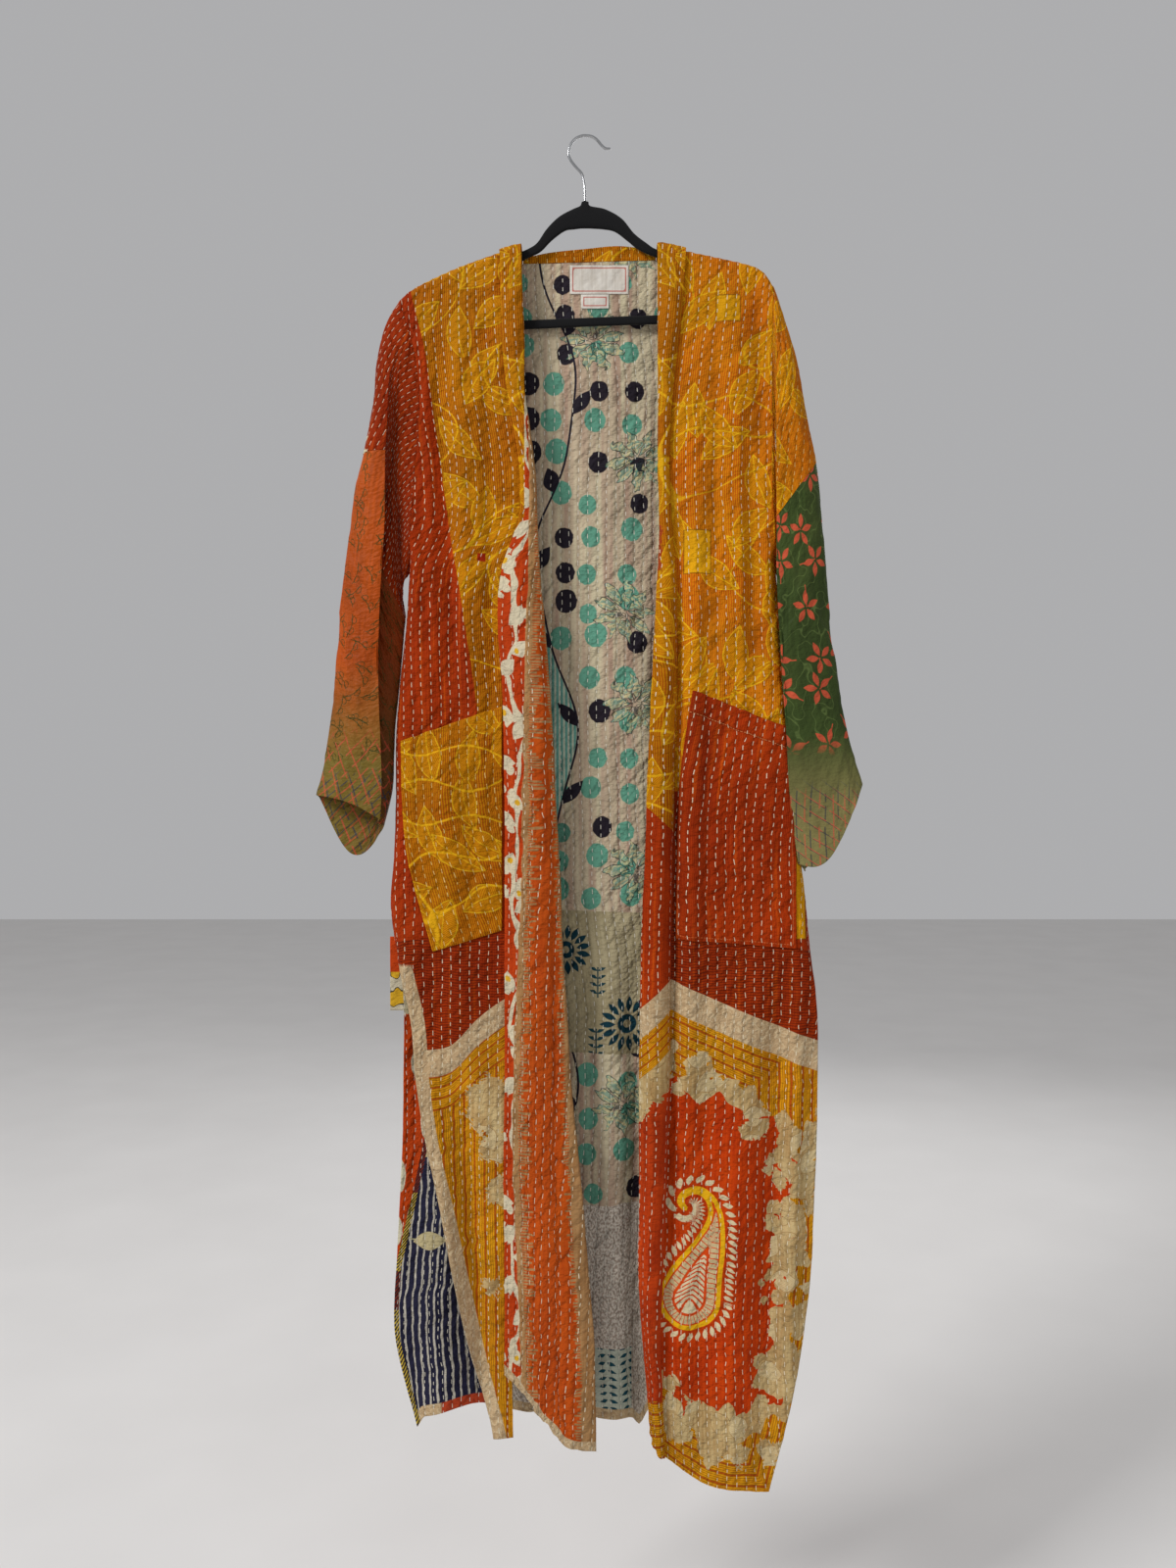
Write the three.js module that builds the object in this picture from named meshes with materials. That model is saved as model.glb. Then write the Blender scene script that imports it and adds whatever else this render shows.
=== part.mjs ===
import * as THREE from "three";

// Millimetres. X runs to the right as seen from the front, Z up, and the front faces -Y.
// The origin is the inside of the hook's crown, from which the hanger and robe hang.

const QUILT = 2; // thickness of two layers of cotton sari stitched together
const SILK = 1.2; // thickness of a lower sleeve
const SEAM = 0.3; // space left between two pieces at a seam
const SLEEVE_SEAM = 1; // space at the slanting seam between the two parts of a sleeve
const LIFT = 0.9; // space under a piece that lies on a panel
const RIB = 0.5; // height of a raised row between two lines of stitches
const SHOULDER_ROUND = 10; // radius of the cloth over the hanger's arms
const SIDE_ROUND = 13; // radius of the cloth round a side seam
const UNDERARM = -511;
const SLIT = { top: -935, open: -1000 };
const MARGIN = 9; // width of a front panel under its neckband

// Heights down the armhole and below it, as shares of the way.
const ARMHOLE_STEPS = [0, 0.004, 0.018, 0.038, 0.085, 0.16, 0.27, 0.42, 0.6, 0.8, 1];
const SKIRT_STEPS = 17;

/** Rows of a table as objects, by the names of its columns. */
function rowsOf(columns, rows) {
  return rows.map((row) => Object.fromEntries(columns.map((name, index) => [name, row[index]])));
}

// Outline of the robe: one row for each height, with x of side edge, band seam and free edge.
const OUTLINE = [
  { z: -131, leftSide: -217, leftSeam: -100, leftFree: -75, rightFree: 83, rightSeam: 116, rightSide: 218 },
  { z: -176, leftSide: -217, leftSeam: -100, leftFree: -74, rightFree: 83, rightSeam: 114, rightSide: 218 },
  { z: -200, leftSide: -215, leftSeam: -99, leftFree: -73, rightFree: 83, rightSeam: 112, rightSide: 217 },
  { z: -250, leftSide: -201, leftSeam: -97, leftFree: -71, rightFree: 83, rightSeam: 107, rightSide: 216 },
  { z: -300, leftSide: -194, leftSeam: -92, leftFree: -71, rightFree: 83, rightSeam: 101, rightSide: 216 },
  { z: -350, leftSide: -195, leftSeam: -83, leftFree: -64, rightFree: 83, rightSeam: 98, rightSide: 216 },
  { z: -400, leftSide: -200, leftSeam: -77, leftFree: -58, rightFree: 83, rightSeam: 97, rightSide: 216 },
  { z: -450, leftSide: -202, leftSeam: -78, leftFree: -56, rightFree: 85, rightSeam: 99, rightSide: 218 },
  { z: -511, leftSide: -206, leftSeam: -98, leftFree: -53, rightFree: 83, rightSeam: 103, rightSide: 222 },
  { z: -570, leftSide: -210, leftSeam: -102, leftFree: -48, rightFree: 80, rightSeam: 106, rightSide: 227 },
  { z: -640, leftSide: -217, leftSeam: -97, leftFree: -42, rightFree: 76, rightSeam: 107, rightSide: 232 },
  { z: -700, leftSide: -222, leftSeam: -95, leftFree: -38, rightFree: 73, rightSeam: 104, rightSide: 237 },
  { z: -770, leftSide: -222, leftSeam: -94, leftFree: -35, rightFree: 70, rightSeam: 101, rightSide: 243 },
  { z: -840, leftSide: -224, leftSeam: -94, leftFree: -31, rightFree: 68, rightSeam: 99, rightSide: 250 },
  { z: -900, leftSide: -228, leftSeam: -94, leftFree: -28, rightFree: 65, rightSeam: 98, rightSide: 257 },
  { z: -960, leftSide: -219, leftSeam: -94, leftFree: -26, rightFree: 63, rightSeam: 97, rightSide: 262 },
  { z: -1030, leftSide: -203, leftSeam: -94, leftFree: -21, rightFree: 62, rightSeam: 96, rightSide: 268 },
  { z: -1100, leftSide: -197, leftSeam: -94, leftFree: -17, rightFree: 61, rightSeam: 95, rightSide: 268 },
  { z: -1170, leftSide: -186, leftSeam: -95, leftFree: -10, rightFree: 61, rightSeam: 92, rightSide: 267 },
  { z: -1240, leftSide: -170, leftSeam: -95, leftFree: -4, rightFree: 61, rightSeam: 90, rightSide: 264 },
  { z: -1320, leftSide: -154, leftSeam: -94, leftFree: 3, rightFree: 60, rightSeam: 87, rightSide: 260 },
  { z: -1400, leftSide: -137, leftSeam: -94, leftFree: 10, rightFree: 65, rightSeam: 85, rightSide: 250 },
  { z: -1460, leftSide: -121, leftSeam: -94, leftFree: 11, rightFree: 70, rightSeam: 87, rightSide: 239 },
  { z: -1516, leftSide: -107, leftSeam: -93, leftFree: 12, rightFree: 74, rightSeam: 90, rightSide: 226 },
  { z: -1574, leftSide: -107, leftSeam: -93, leftFree: 12, rightFree: 76, rightSeam: 92, rightSide: 211 },
];

// Side edges of the back below the slits, where they leave the fronts.
const BACK_SIDES = [
  { z: -900, left: -228, right: 257 },
  { z: -960, left: -219, right: 262 },
  { z: -1030, left: -215, right: 267 },
  { z: -1100, left: -216, right: 266 },
  { z: -1170, left: -217, right: 264 },
  { z: -1240, left: -220, right: 260 },
  { z: -1320, left: -224, right: 255 },
  { z: -1400, left: -227, right: 249 },
  { z: -1460, left: -216, right: 243 },
  { z: -1520, left: -200, right: 234 },
];

// Line of the shoulders over the hanger.
const RIDGE = [
  { x: -217, z: -193 },
  { x: -204, z: -181 },
  { x: -158, z: -158 },
  { x: -113, z: -141 },
  { x: -72, z: -130 },
  { x: 85, z: -129 },
  { x: 117, z: -135 },
  { x: 163, z: -145 },
  { x: 195, z: -153 },
  { x: 208, z: -161 },
  { x: 218, z: -176 },
];

// Seam and top edge of the band across the back of the neck.
const NECK = [
  { x: -76, seam: -145.5, top: -139 },
  { x: -44, seam: -144.6, top: -132 },
  { x: 2, seam: -143.3, top: -127 },
  { x: 35, seam: -142.4, top: -124 },
  { x: 60, seam: -141.7, top: -126 },
  { x: 84, seam: -141, top: -131 },
];
const NECK_STEP = { left: -88, right: 96, width: 10 }; // where the back drops from shoulder to neck

const HEMS = {
  frontLeft: [
    { x: -107, z: -1515 },
    { x: -80, z: -1512 },
    { x: -40, z: -1511 },
  ],
  bandLeft: [
    { x: -93, z: -1438 },
    { x: -68, z: -1462 },
    { x: -33, z: -1505 },
    { x: -21, z: -1519 },
    { x: 12, z: -1527 },
  ],
  bandRight: [
    { x: 74, z: -1504 },
    { x: 80, z: -1527 },
    { x: 90, z: -1535 },
  ],
  frontRight: [
    { x: 80, z: -1527 },
    { x: 117, z: -1552 },
    { x: 148, z: -1566 },
    { x: 211, z: -1574 },
  ],
  back: [
    { x: -200, z: -1520 },
    { x: -185, z: -1505 },
    { x: -124, z: -1493 },
    { x: -96, z: -1498 },
    { x: 14, z: -1507 },
    { x: 53, z: -1509 },
    { x: 64, z: -1520 },
    { x: 78, z: -1496 },
    { x: 234, z: -1512 },
  ],
};

// How far the front and the back stand off the hanger's plane.
const DEPTHS = [
  { z: -130, front: 10, back: 9 },
  { z: -400, front: 14, back: 10 },
  { z: -800, front: 17, back: 12 },
  { z: -1200, front: 19, back: 14 },
  { z: -1600, front: 22, back: 16 },
];

// Folds: each runs from one point to another; a positive depth stands outwards.
const FRONT_FOLDS = [
  { x0: -150, z0: -150, x1: -136, z1: -700, width: 16, depth: 6 },
  { x0: -176, z0: -200, x1: -146, z1: -700, width: 10, depth: -5 },
  { x0: -210, z0: -380, x1: -184, z1: -720, width: 14, depth: 6 },
  { x0: -164, z0: -690, x1: -146, z1: -1060, width: 22, depth: 7 },
  { x0: -182, z0: -1060, x1: -130, z1: -1560, width: 14, depth: 8 },
  { x0: -148, z0: -1050, x1: -108, z1: -1600, width: 12, depth: -6 },
  { x0: 109, z0: -360, x1: 92, z1: -1600, width: 10, depth: -9 },
  { x0: 130, z0: -180, x1: 116, z1: -1300, width: 16, depth: 7 },
  { x0: 198, z0: -140, x1: 208, z1: -420, width: 10, depth: -5 },
  { x0: 166, z0: -120, x1: 172, z1: -700, width: 18, depth: 6 },
  { x0: 190, z0: -320, x1: 200, z1: -660, width: 12, depth: -5 },
  { x0: 184, z0: -940, x1: 158, z1: -1640, width: 24, depth: 9 },
  { x0: 224, z0: -940, x1: 202, z1: -1640, width: 15, depth: -6 },
  { x0: 252, z0: -900, x1: 222, z1: -1560, width: 12, depth: 6 },
];
const BACK_FOLDS = [
  { x0: -30, z0: -620, x1: -44, z1: -1760, width: 24, depth: 8 },
  { x0: 26, z0: -820, x1: 36, z1: -1760, width: 15, depth: -6 },
  { x0: 58, z0: -860, x1: 64, z1: -1760, width: 12, depth: 8 },
  { x0: 124, z0: -420, x1: 132, z1: -1760, width: 30, depth: 9 },
  { x0: -108, z0: -520, x1: -122, z1: -1760, width: 30, depth: 8 },
  { x0: -160, z0: -860, x1: -176, z1: -1760, width: 18, depth: -6 },
  { x0: 196, z0: -620, x1: 202, z1: -1760, width: 24, depth: -6 },
];

// Sleeves: a row for each ring from armhole to cuff. The outer edge o, the front's fold f,
// the recess g and the inner edge i each have x and z; front, recess and back are depths,
// and the drops lengthen the front and the back of a ring at the cuff.
const SLEEVE_COLUMNS = [
  "ox", "oz", "fx", "fz", "gx", "gz", "ix", "iz", "front", "recess", "back", "drop", "frontDrop",
];
const LEFT_SLEEVE = rowsOf(SLEEVE_COLUMNS, [
  [-234, -220, -217, -253, -217, -335, -214, -522, 15, 12, 11, 0, 0],
  [-245, -264, -227, -286, -226, -370, -215, -536, 19, 11, 12, 0, 0],
  [-249, -310, -229, -324, -233, -430, -216, -549, 22, 9, 12, 0, 0],
  [-261, -373, -231, -373, -241, -500, -217, -563, 24, 8, 13, 0, 0],
  [-271, -415, -232, -416, -244, -520, -218, -576, 24, 8, 13, 0, 0],
  [-277, -465, -233, -474, -245, -545, -218, -595, 24, 8, 13, 0, 0],
  [-285, -528, -237, -536, -246, -585, -219, -622, 24, 8, 13, 0, 0],
  [-292, -591, -239, -598, -247, -627, -222, -655, 24, 8, 13, 4, 0],
  [-297, -649, -239, -654, -246, -668, -225, -688, 23, 8, 13, 12, 0],
  [-303, -700, -237, -711, -244, -717, -228, -722, 22, 8, 13, 25, 0],
  [-308, -743, -236, -758, -242, -763, -232, -764, 20, 8, 13, 38, 0],
  [-315, -771, -238, -799, -243, -803, -237, -806, 18, 8, 14, 52, -6],
]);
const RIGHT_SLEEVE = rowsOf(SLEEVE_COLUMNS, [
  [228, -201, 220, -240, 220, -320, 226, -522, 15, 11, 11, 0, 0],
  [239, -235, 220, -279, 222, -390, 228, -536, 18, 10, 12, 0, 0],
  [248, -266, 220, -318, 224, -430, 229, -553, 20, 9, 12, 0, 0],
  [259, -327, 220, -374, 225, -470, 231, -567, 22, 9, 13, 0, 0],
  [270, -381, 221, -449, 227, -520, 233, -582, 23, 9, 13, 0, 0],
  [276, -440, 221, -499, 229, -556, 236, -608, 24, 9, 13, 0, 0],
  [281, -505, 224, -555, 233, -596, 238, -637, 24, 9, 13, 0, 0],
  [286, -568, 227, -606, 237, -636, 241, -666, 24, 9, 13, 0, 0],
  [293, -608, 231, -651, 240, -673, 243, -695, 23, 9, 13, 0, 0],
  [300, -654, 235, -702, 244, -716, 247, -731, 22, 9, 13, 4, 6],
  [311, -712, 240, -769, 248, -780, 251, -793, 20, 9, 13, 10, 20],
  [323, -758, 250, -850, 258, -856, 262, -860, 18, 9, 14, 16, 38],
]);
const FRONT_SHARES = [0, 0.35, 0.65, 0.86, 0.97, 1];
const BACK_SHARES = [0, 0.03, 0.13, 0.28, 0.42, 0.56, 0.7, 0.83, 0.93, 0.985, 1];
const RECESS_COLUMNS = 3;
const FOLD_COLUMNS = 2;
const RINGS_PER_ROW = 2;

// Pockets: corners and bends down the left and the right edge.
const POCKETS = {
  left: [
    { share: 0, x0: -214, z0: -708, x1: -97, z1: -668 },
    { share: 0.33, x0: -211, z0: -800, x1: -97, z1: -757 },
    { share: 0.6, x0: -203, z0: -860, x1: -97, z1: -830 },
    { share: 1, x0: -177, z0: -951, x1: -97, z1: -927 },
  ],
  right: [
    { share: 0, x0: 123, z0: -650, x1: 232, z1: -692 },
    { share: 0.33, x0: 111, z0: -742, x1: 238, z1: -775 },
    { share: 0.6, x0: 107, z0: -815, x1: 242, z1: -845 },
    { share: 1, x0: 105, z0: -937, x1: 243, z1: -948 },
  ],
};
const POCKET_CELLS = { down: 8, across: 10 };
const POCKET_SEAT = { left: 0.9, right: 1.8 }; // space under a pocket's sewn edges
const POCKET_LIFT = 2.2; // space under the rest of a pocket
const POCKET_BULGE = 3;

const LABEL = { x0: -19, x1: 50, z0: -147, z1: -181, thick: 1 };
const CARE_TAG = { x0: -6, x1: 27, z0: -181.4, z1: -198, thick: 1 };
const SIDE_TIE = { x0: -232, x1: -198, z0: -938, z1: -1026, thick: 2 };

// Hanger: a row for each section round its frame, with the outer edge o and the inner edge i.
const HANGER = { thick: 5, bevel: 0.9 };
const HANGER_FRAME = [
  { ox: -213, oz: -212, ix: -200, iz: -208 },
  { ox: -212, oz: -197, ix: -199, iz: -202 },
  { ox: -204, oz: -185, ix: -193, iz: -195 },
  { ox: -158, oz: -162, ix: -158, iz: -174 },
  { ox: -113, oz: -145, ix: -113, iz: -157 },
  { ox: -80, oz: -136, ix: -80, iz: -147 },
  { ox: -67, oz: -131, ix: -67, iz: -141 },
  { ox: -57, oz: -124, ix: -53, iz: -134 },
  { ox: -46, oz: -108, ix: -40, iz: -121 },
  { ox: -32, oz: -94, ix: -25, iz: -110 },
  { ox: -16, oz: -85, ix: -14, iz: -108 },
  { ox: -7, oz: -81, ix: -6, iz: -107 },
  { ox: -4.5, oz: -76, ix: -3, iz: -107 },
  { ox: 2.5, oz: -76, ix: 1, iz: -107 },
  { ox: 5, oz: -81, ix: 5, iz: -107 },
  { ox: 23, oz: -85, ix: 20, iz: -108 },
  { ox: 42, oz: -96, ix: 34, iz: -111 },
  { ox: 56, oz: -113, ix: 49, iz: -122 },
  { ox: 70, oz: -124, ix: 62, iz: -132 },
  { ox: 84, oz: -132.5, ix: 84, iz: -141.5 },
  { ox: 117, oz: -139, ix: 117, iz: -151 },
  { ox: 163, oz: -149, ix: 163, iz: -161 },
  { ox: 195, oz: -157, ix: 188, iz: -168 },
  { ox: 206, oz: -166, ix: 196, iz: -176 },
  { ox: 212, oz: -180, ix: 200, iz: -186 },
  { ox: 213, oz: -200, ix: 200, iz: -198 },
  { ox: 206, oz: -215, ix: 193, iz: -206 },
  { ox: 190, oz: -220, ix: 180, iz: -209 },
  { ox: 85, oz: -219, ix: 85, iz: -209 },
  { ox: -72, oz: -225, ix: -72, iz: -215 },
  { ox: -188, oz: -230, ix: -182, iz: -219 },
  { ox: -206, oz: -225, ix: -195, iz: -215 },
];

// Hook: centre line of the wire from its seat on the hanger to its tip, in the hanger's plane.
const WIRE = 1.6;
const HOOK = [
  [-1, -75.05], [-1.3, -62], [-2.5, -52], [-5, -43], [-12, -35], [-18, -27], [-20.5, -20],
  [-18.5, -10], [-13, -2.5], [-6, 1], [0, WIRE], [7, 0.5], [13, -3.5], [18, -9.5], [23, -13.5], [29, -14],
];
const HOOK_STEPS = 48;
const HOOK_SIDES = 8;

const lerp = THREE.MathUtils.lerp;
const clamp = THREE.MathUtils.clamp;
const smooth = (share) => THREE.MathUtils.smoothstep(share, 0, 1);

/** A column of a table at a place along its key column, on a smooth curve through the rows. */
function along(table, key, column, place) {
  const last = table.length - 1;
  const way = Math.sign(table[last][key] - table[0][key]);
  let row = 0;
  while (row < last - 1 && (place - table[row + 1][key]) * way > 0) row += 1;
  const slope = (index) => {
    const before = table[Math.max(index - 1, 0)];
    const after = table[Math.min(index + 1, last)];
    return (after[column] - before[column]) / (after[key] - before[key]);
  };
  const a = table[row];
  const b = table[row + 1];
  const span = b[key] - a[key];
  const t = clamp((place - a[key]) / span, 0, 1);
  const rise = t * t * (3 - 2 * t);
  const leave = t * (1 - t) * (1 - t) * span * slope(row);
  const arrive = t * t * (t - 1) * span * slope(row + 1);
  return lerp(a[column], b[column], rise) + leave + arrive;
}

/** Height of a quarter circle over its share of the way from the edge, from 0 to 1. */
const roundOff = (share) => Math.sqrt(1 - (1 - clamp(share, 0, 1)) ** 2);

const ridge = (x) => along(RIDGE, "x", "z", clamp(x, -217, 218));

/** Side edge of the front or of the back, on the left or on the right. */
function sideEdge(face, hand, z) {
  if (face > 0 && z < BACK_SIDES[0].z) return along(BACK_SIDES, "z", hand, z);
  return along(OUTLINE, "z", hand + "Side", z);
}

/** Sum of the folds at a point; each fades out over a quarter of its length at both ends. */
function foldDepth(folds, x, z) {
  let sum = 0;
  for (const fold of folds) {
    const way = (z - fold.z0) / (fold.z1 - fold.z0);
    if (way <= 0 || way >= 1) continue;
    const fade = smooth(Math.min(way, 1 - way) * 4);
    const off = (x - lerp(fold.x0, fold.x1, way)) / fold.width;
    sum += fold.depth * fade * Math.exp(-off * off);
  }
  return sum;
}

/** How open a side edge is: 0 at the side seam, 1 in the armhole and in the slit. */
function openness(z) {
  const armhole = smooth((z - UNDERARM) / 45);
  const slit = smooth((SLIT.top - z) / (SLIT.top - SLIT.open));
  return Math.max(armhole, slit);
}

/** Share of the neck opening at x on the back: 0 under the shoulder ridge, 1 in the neck. */
function neckShare(x) {
  const left = smooth((x - NECK_STEP.left + NECK_STEP.width) / NECK_STEP.width);
  const right = smooth((NECK_STEP.right + NECK_STEP.width - x) / NECK_STEP.width);
  return Math.min(left, right);
}

/** Point of the front (face -1) or the back (face 1) at x and z, rounded at shoulder and side. */
function bodyPoint(face, x, z, overRidge = true) {
  const hand = x < 0 ? "left" : "right";
  const fromSide = Math.abs(sideEdge(face, hand, z) - x) / SIDE_ROUND;
  const open = openness(z);
  const sideShare = open + (1 - open) * roundOff(fromSide);
  const wrap = roundOff((ridge(x) - z) / SHOULDER_ROUND);
  const neck = face > 0 && !overRidge ? neckShare(x) : 0;
  const shoulderShare = lerp(wrap, 1, neck);
  const depth = along(DEPTHS, "z", face < 0 ? "front" : "back", z);
  const folds = foldDepth(face < 0 ? FRONT_FOLDS : BACK_FOLDS, x, z);
  const y = face * (SEAM / 2 + (depth + folds) * sideShare * shoulderShare);
  return new THREE.Vector3(x, y, z);
}

/** Heights of a column of a panel, from its top to its hem. */
function columnHeights(top, hem) {
  const heights = ARMHOLE_STEPS.map((share) => lerp(top, UNDERARM, share));
  for (let step = 1; step <= SKIRT_STEPS; step += 1) {
    heights.push(lerp(UNDERARM, hem, step / SKIRT_STEPS));
  }
  return heights;
}

/** Shares across a panel, closer together where it rounds a side. */
function columnShares(count, roundStart, roundEnd) {
  const close = [0, 0.08, 0.4, 1];
  const shares = close.map((share) => share * roundStart);
  const inner = count - (roundEnd > 0 ? 6 : 3);
  for (let step = 1; step <= inner; step += 1) {
    shares.push(lerp(roundStart, 1 - roundEnd, step / inner));
  }
  if (roundEnd > 0) {
    close.slice(0, 3).reverse().forEach((share) => shares.push(1 - share * roundEnd));
  }
  return shares;
}

/** Rows of points of a panel between two edges given as functions of height. */
function panelGrid(face, shares, leftEdge, rightEdge, top, hem) {
  const columns = shares.map((share) => {
    const xTop = lerp(leftEdge(OUTLINE[0].z), rightEdge(OUTLINE[0].z), share);
    const xHem = lerp(leftEdge(-1520), rightEdge(-1520), share);
    return columnHeights(top(xTop), hem(xHem)).map((z) =>
      bodyPoint(face, lerp(leftEdge(z), rightEdge(z), share), z, false),
    );
  });
  return columns[0].map((_, row) => columns.map((column) => column[row]));
}

/** Unit normals of a grid of points, on the side given by facing, round the ring if it is one. */
function gridNormals(grid, facing, ring = false) {
  const rows = grid.length;
  const columns = grid[0].length;
  return grid.map((line, row) =>
    line.map((_, column) => {
      const before = ring ? (column + columns - 1) % columns : Math.max(column - 1, 0);
      const after = ring ? (column + 1) % columns : Math.min(column + 1, columns - 1);
      const across = grid[row][after].clone().sub(grid[row][before]);
      const down = grid[Math.min(row + 1, rows - 1)][column].clone();
      down.sub(grid[Math.max(row - 1, 0)][column]);
      return across.cross(down).normalize().multiplyScalar(facing);
    }),
  );
}

/** A closed wall of cloth between two offsets along the normals of a grid. */
function clothWall(name, grid, normals, inner, outer, material, ring = false) {
  const rows = grid.length;
  const columns = grid[0].length;
  const positions = [];
  const push = (offset) =>
    grid.forEach((line, row) =>
      line.forEach((point, column) => {
        const move = typeof offset === "function" ? offset(row, column) : offset;
        const moved = point.clone().addScaledVector(normals[row][column], move);
        positions.push(moved.x, moved.y, moved.z);
      }),
    );
  push(outer);
  push(inner);
  const at = (layer, row, column) => layer * rows * columns + row * columns + (column % columns);
  const index = [];
  const quad = (a, b, c, d) => index.push(a, b, c, a, c, d);
  const cells = ring ? columns : columns - 1;
  for (let row = 0; row < rows - 1; row += 1) {
    for (let column = 0; column < cells; column += 1) {
      const next = column + 1;
      quad(at(0, row, column), at(0, row + 1, column), at(0, row + 1, next), at(0, row, next));
      quad(at(1, row, column), at(1, row, next), at(1, row + 1, next), at(1, row + 1, column));
    }
  }
  for (let column = 0; column < cells; column += 1) {
    const next = column + 1;
    const end = rows - 1;
    quad(at(0, 0, column), at(0, 0, next), at(1, 0, next), at(1, 0, column));
    quad(at(0, end, next), at(0, end, column), at(1, end, column), at(1, end, next));
  }
  if (!ring) {
    for (let row = 0; row < rows - 1; row += 1) {
      const end = columns - 1;
      quad(at(0, row + 1, 0), at(0, row, 0), at(1, row, 0), at(1, row + 1, 0));
      quad(at(0, row, end), at(0, row + 1, end), at(1, row + 1, end), at(1, row, end));
    }
  }
  return closedMesh(name, positions, index, material);
}

/** A mesh whose faces are turned outwards. */
function closedMesh(name, positions, index, material) {
  const corner = (vertex) => new THREE.Vector3().fromArray(positions, vertex * 3);
  let volume = 0;
  for (let face = 0; face < index.length; face += 3) {
    const [a, b, c] = [corner(index[face]), corner(index[face + 1]), corner(index[face + 2])];
    volume += a.dot(b.cross(c)) / 6;
  }
  if (volume < 0) {
    for (let face = 0; face < index.length; face += 3) {
      [index[face + 1], index[face + 2]] = [index[face + 2], index[face + 1]];
    }
  }
  const geometry = new THREE.BufferGeometry();
  geometry.setAttribute("position", new THREE.Float32BufferAttribute(positions, 3));
  geometry.setIndex(index);
  const mesh = new THREE.Mesh(geometry, material);
  mesh.name = name;
  return mesh;
}

/** Raised rows of quilting on the outer points: every second column stands up. */
const quilted = (row, column) => (column % 2) * RIB;

/** Turns the normals of one line of a grid so that they stay in the plane of its seam. */
function flattenNormals(normals, cells, axis) {
  cells.forEach(([row, column]) => {
    normals[row][column][axis] = 0;
    normals[row][column].normalize();
  });
}

const fabric = (color, roughness = 0.85) =>
  new THREE.MeshStandardMaterial({ color, roughness, metalness: 0 });
const mustard = fabric("#c9900f");
const orangeRed = fabric("#b23e10");
const orange = fabric("#c25a1e");
const lining = fabric("#b9a88b");
const rust = fabric("#a4541f", 0.6);
const greenSilk = fabric("#3c4a28", 0.6);
const white = fabric("#d8d3c8", 0.8);
const floral = fabric("#c8552a");
const velvet = fabric("#0c0c0e", 0.95);
const wire = new THREE.MeshStandardMaterial({ color: "#c4c6c8", roughness: 0.2, metalness: 1 });

const garment = new THREE.Group();
garment.name = "kimono_on_hanger";

/** Flattens a panel's side edge: in the armhole across x, along the side seam across y. */
function fitSide(grid, normals, column) {
  grid.forEach((line, row) => {
    const z = line[column].z;
    const seam = z < UNDERARM + 1 && z > SLIT.open;
    flattenNormals(normals, [[row, column]], seam ? "y" : "x");
  });
}

/** Flattens the line of the shoulder, where front and back meet over the hanger. */
function fitShoulder(normals, share = () => 1) {
  normals[0].forEach((normal, column) => {
    normal.y *= 1 - share(column);
    normal.normalize();
  });
}

/** One front panel, from its side edge to the seam of its neckband. */
function frontPanel(hand) {
  const left = hand === "left";
  const side = (z) => sideEdge(-1, hand, z);
  const seam = (z) => along(OUTLINE, "z", hand + "Seam", z) + (left ? MARGIN : -MARGIN);
  const hem = (x) => along(left ? HEMS.frontLeft : HEMS.frontRight, "x", "z", x);
  const shares = columnShares(18, 0.07, 0);
  const leftEdge = left ? side : seam;
  const rightEdge = left ? seam : side;
  const across = left ? shares : shares.map((share) => 1 - share).reverse();
  const grid = panelGrid(-1, across, leftEdge, rightEdge, ridge, hem);
  const normals = gridNormals(grid, facingOf(grid, -1));
  fitShoulder(normals);
  fitSide(grid, normals, left ? 0 : across.length - 1);
  return clothWall("front_" + hand, grid, normals, -QUILT, quilted, mustard);
}

/** Sign that turns a grid's normals to the front (-1) or to the back (1). */
function facingOf(grid, face) {
  const row = Math.floor(grid.length / 2);
  const column = Math.floor(grid[0].length / 2);
  const across = grid[row][column + 1].clone().sub(grid[row][column - 1]);
  const down = grid[row + 1][column].clone().sub(grid[row - 1][column]);
  return Math.sign(across.cross(down).y) * face;
}

/** The back panel, in one piece from side to side, cut lower across the neck. */
function backPanel() {
  const leftEdge = (z) => sideEdge(1, "left", z);
  const rightEdge = (z) => sideEdge(1, "right", z);
  const neckSeam = (x) => along(NECK, "x", "seam", clamp(x, -76, 84));
  const top = (x) => lerp(ridge(x), neckSeam(x), neckShare(x));
  const hem = (x) => along(HEMS.back, "x", "z", x);
  const shares = columnShares(40, 0.033, 0.033);
  const grid = panelGrid(1, shares, leftEdge, rightEdge, top, hem);
  const normals = gridNormals(grid, facingOf(grid, 1));
  fitShoulder(normals, (column) => 1 - neckShare(grid[0][column].x));
  fitSide(grid, normals, 0);
  fitSide(grid, normals, shares.length - 1);
  return clothWall("back", grid, normals, -QUILT, quilted, orangeRed);
}

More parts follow.
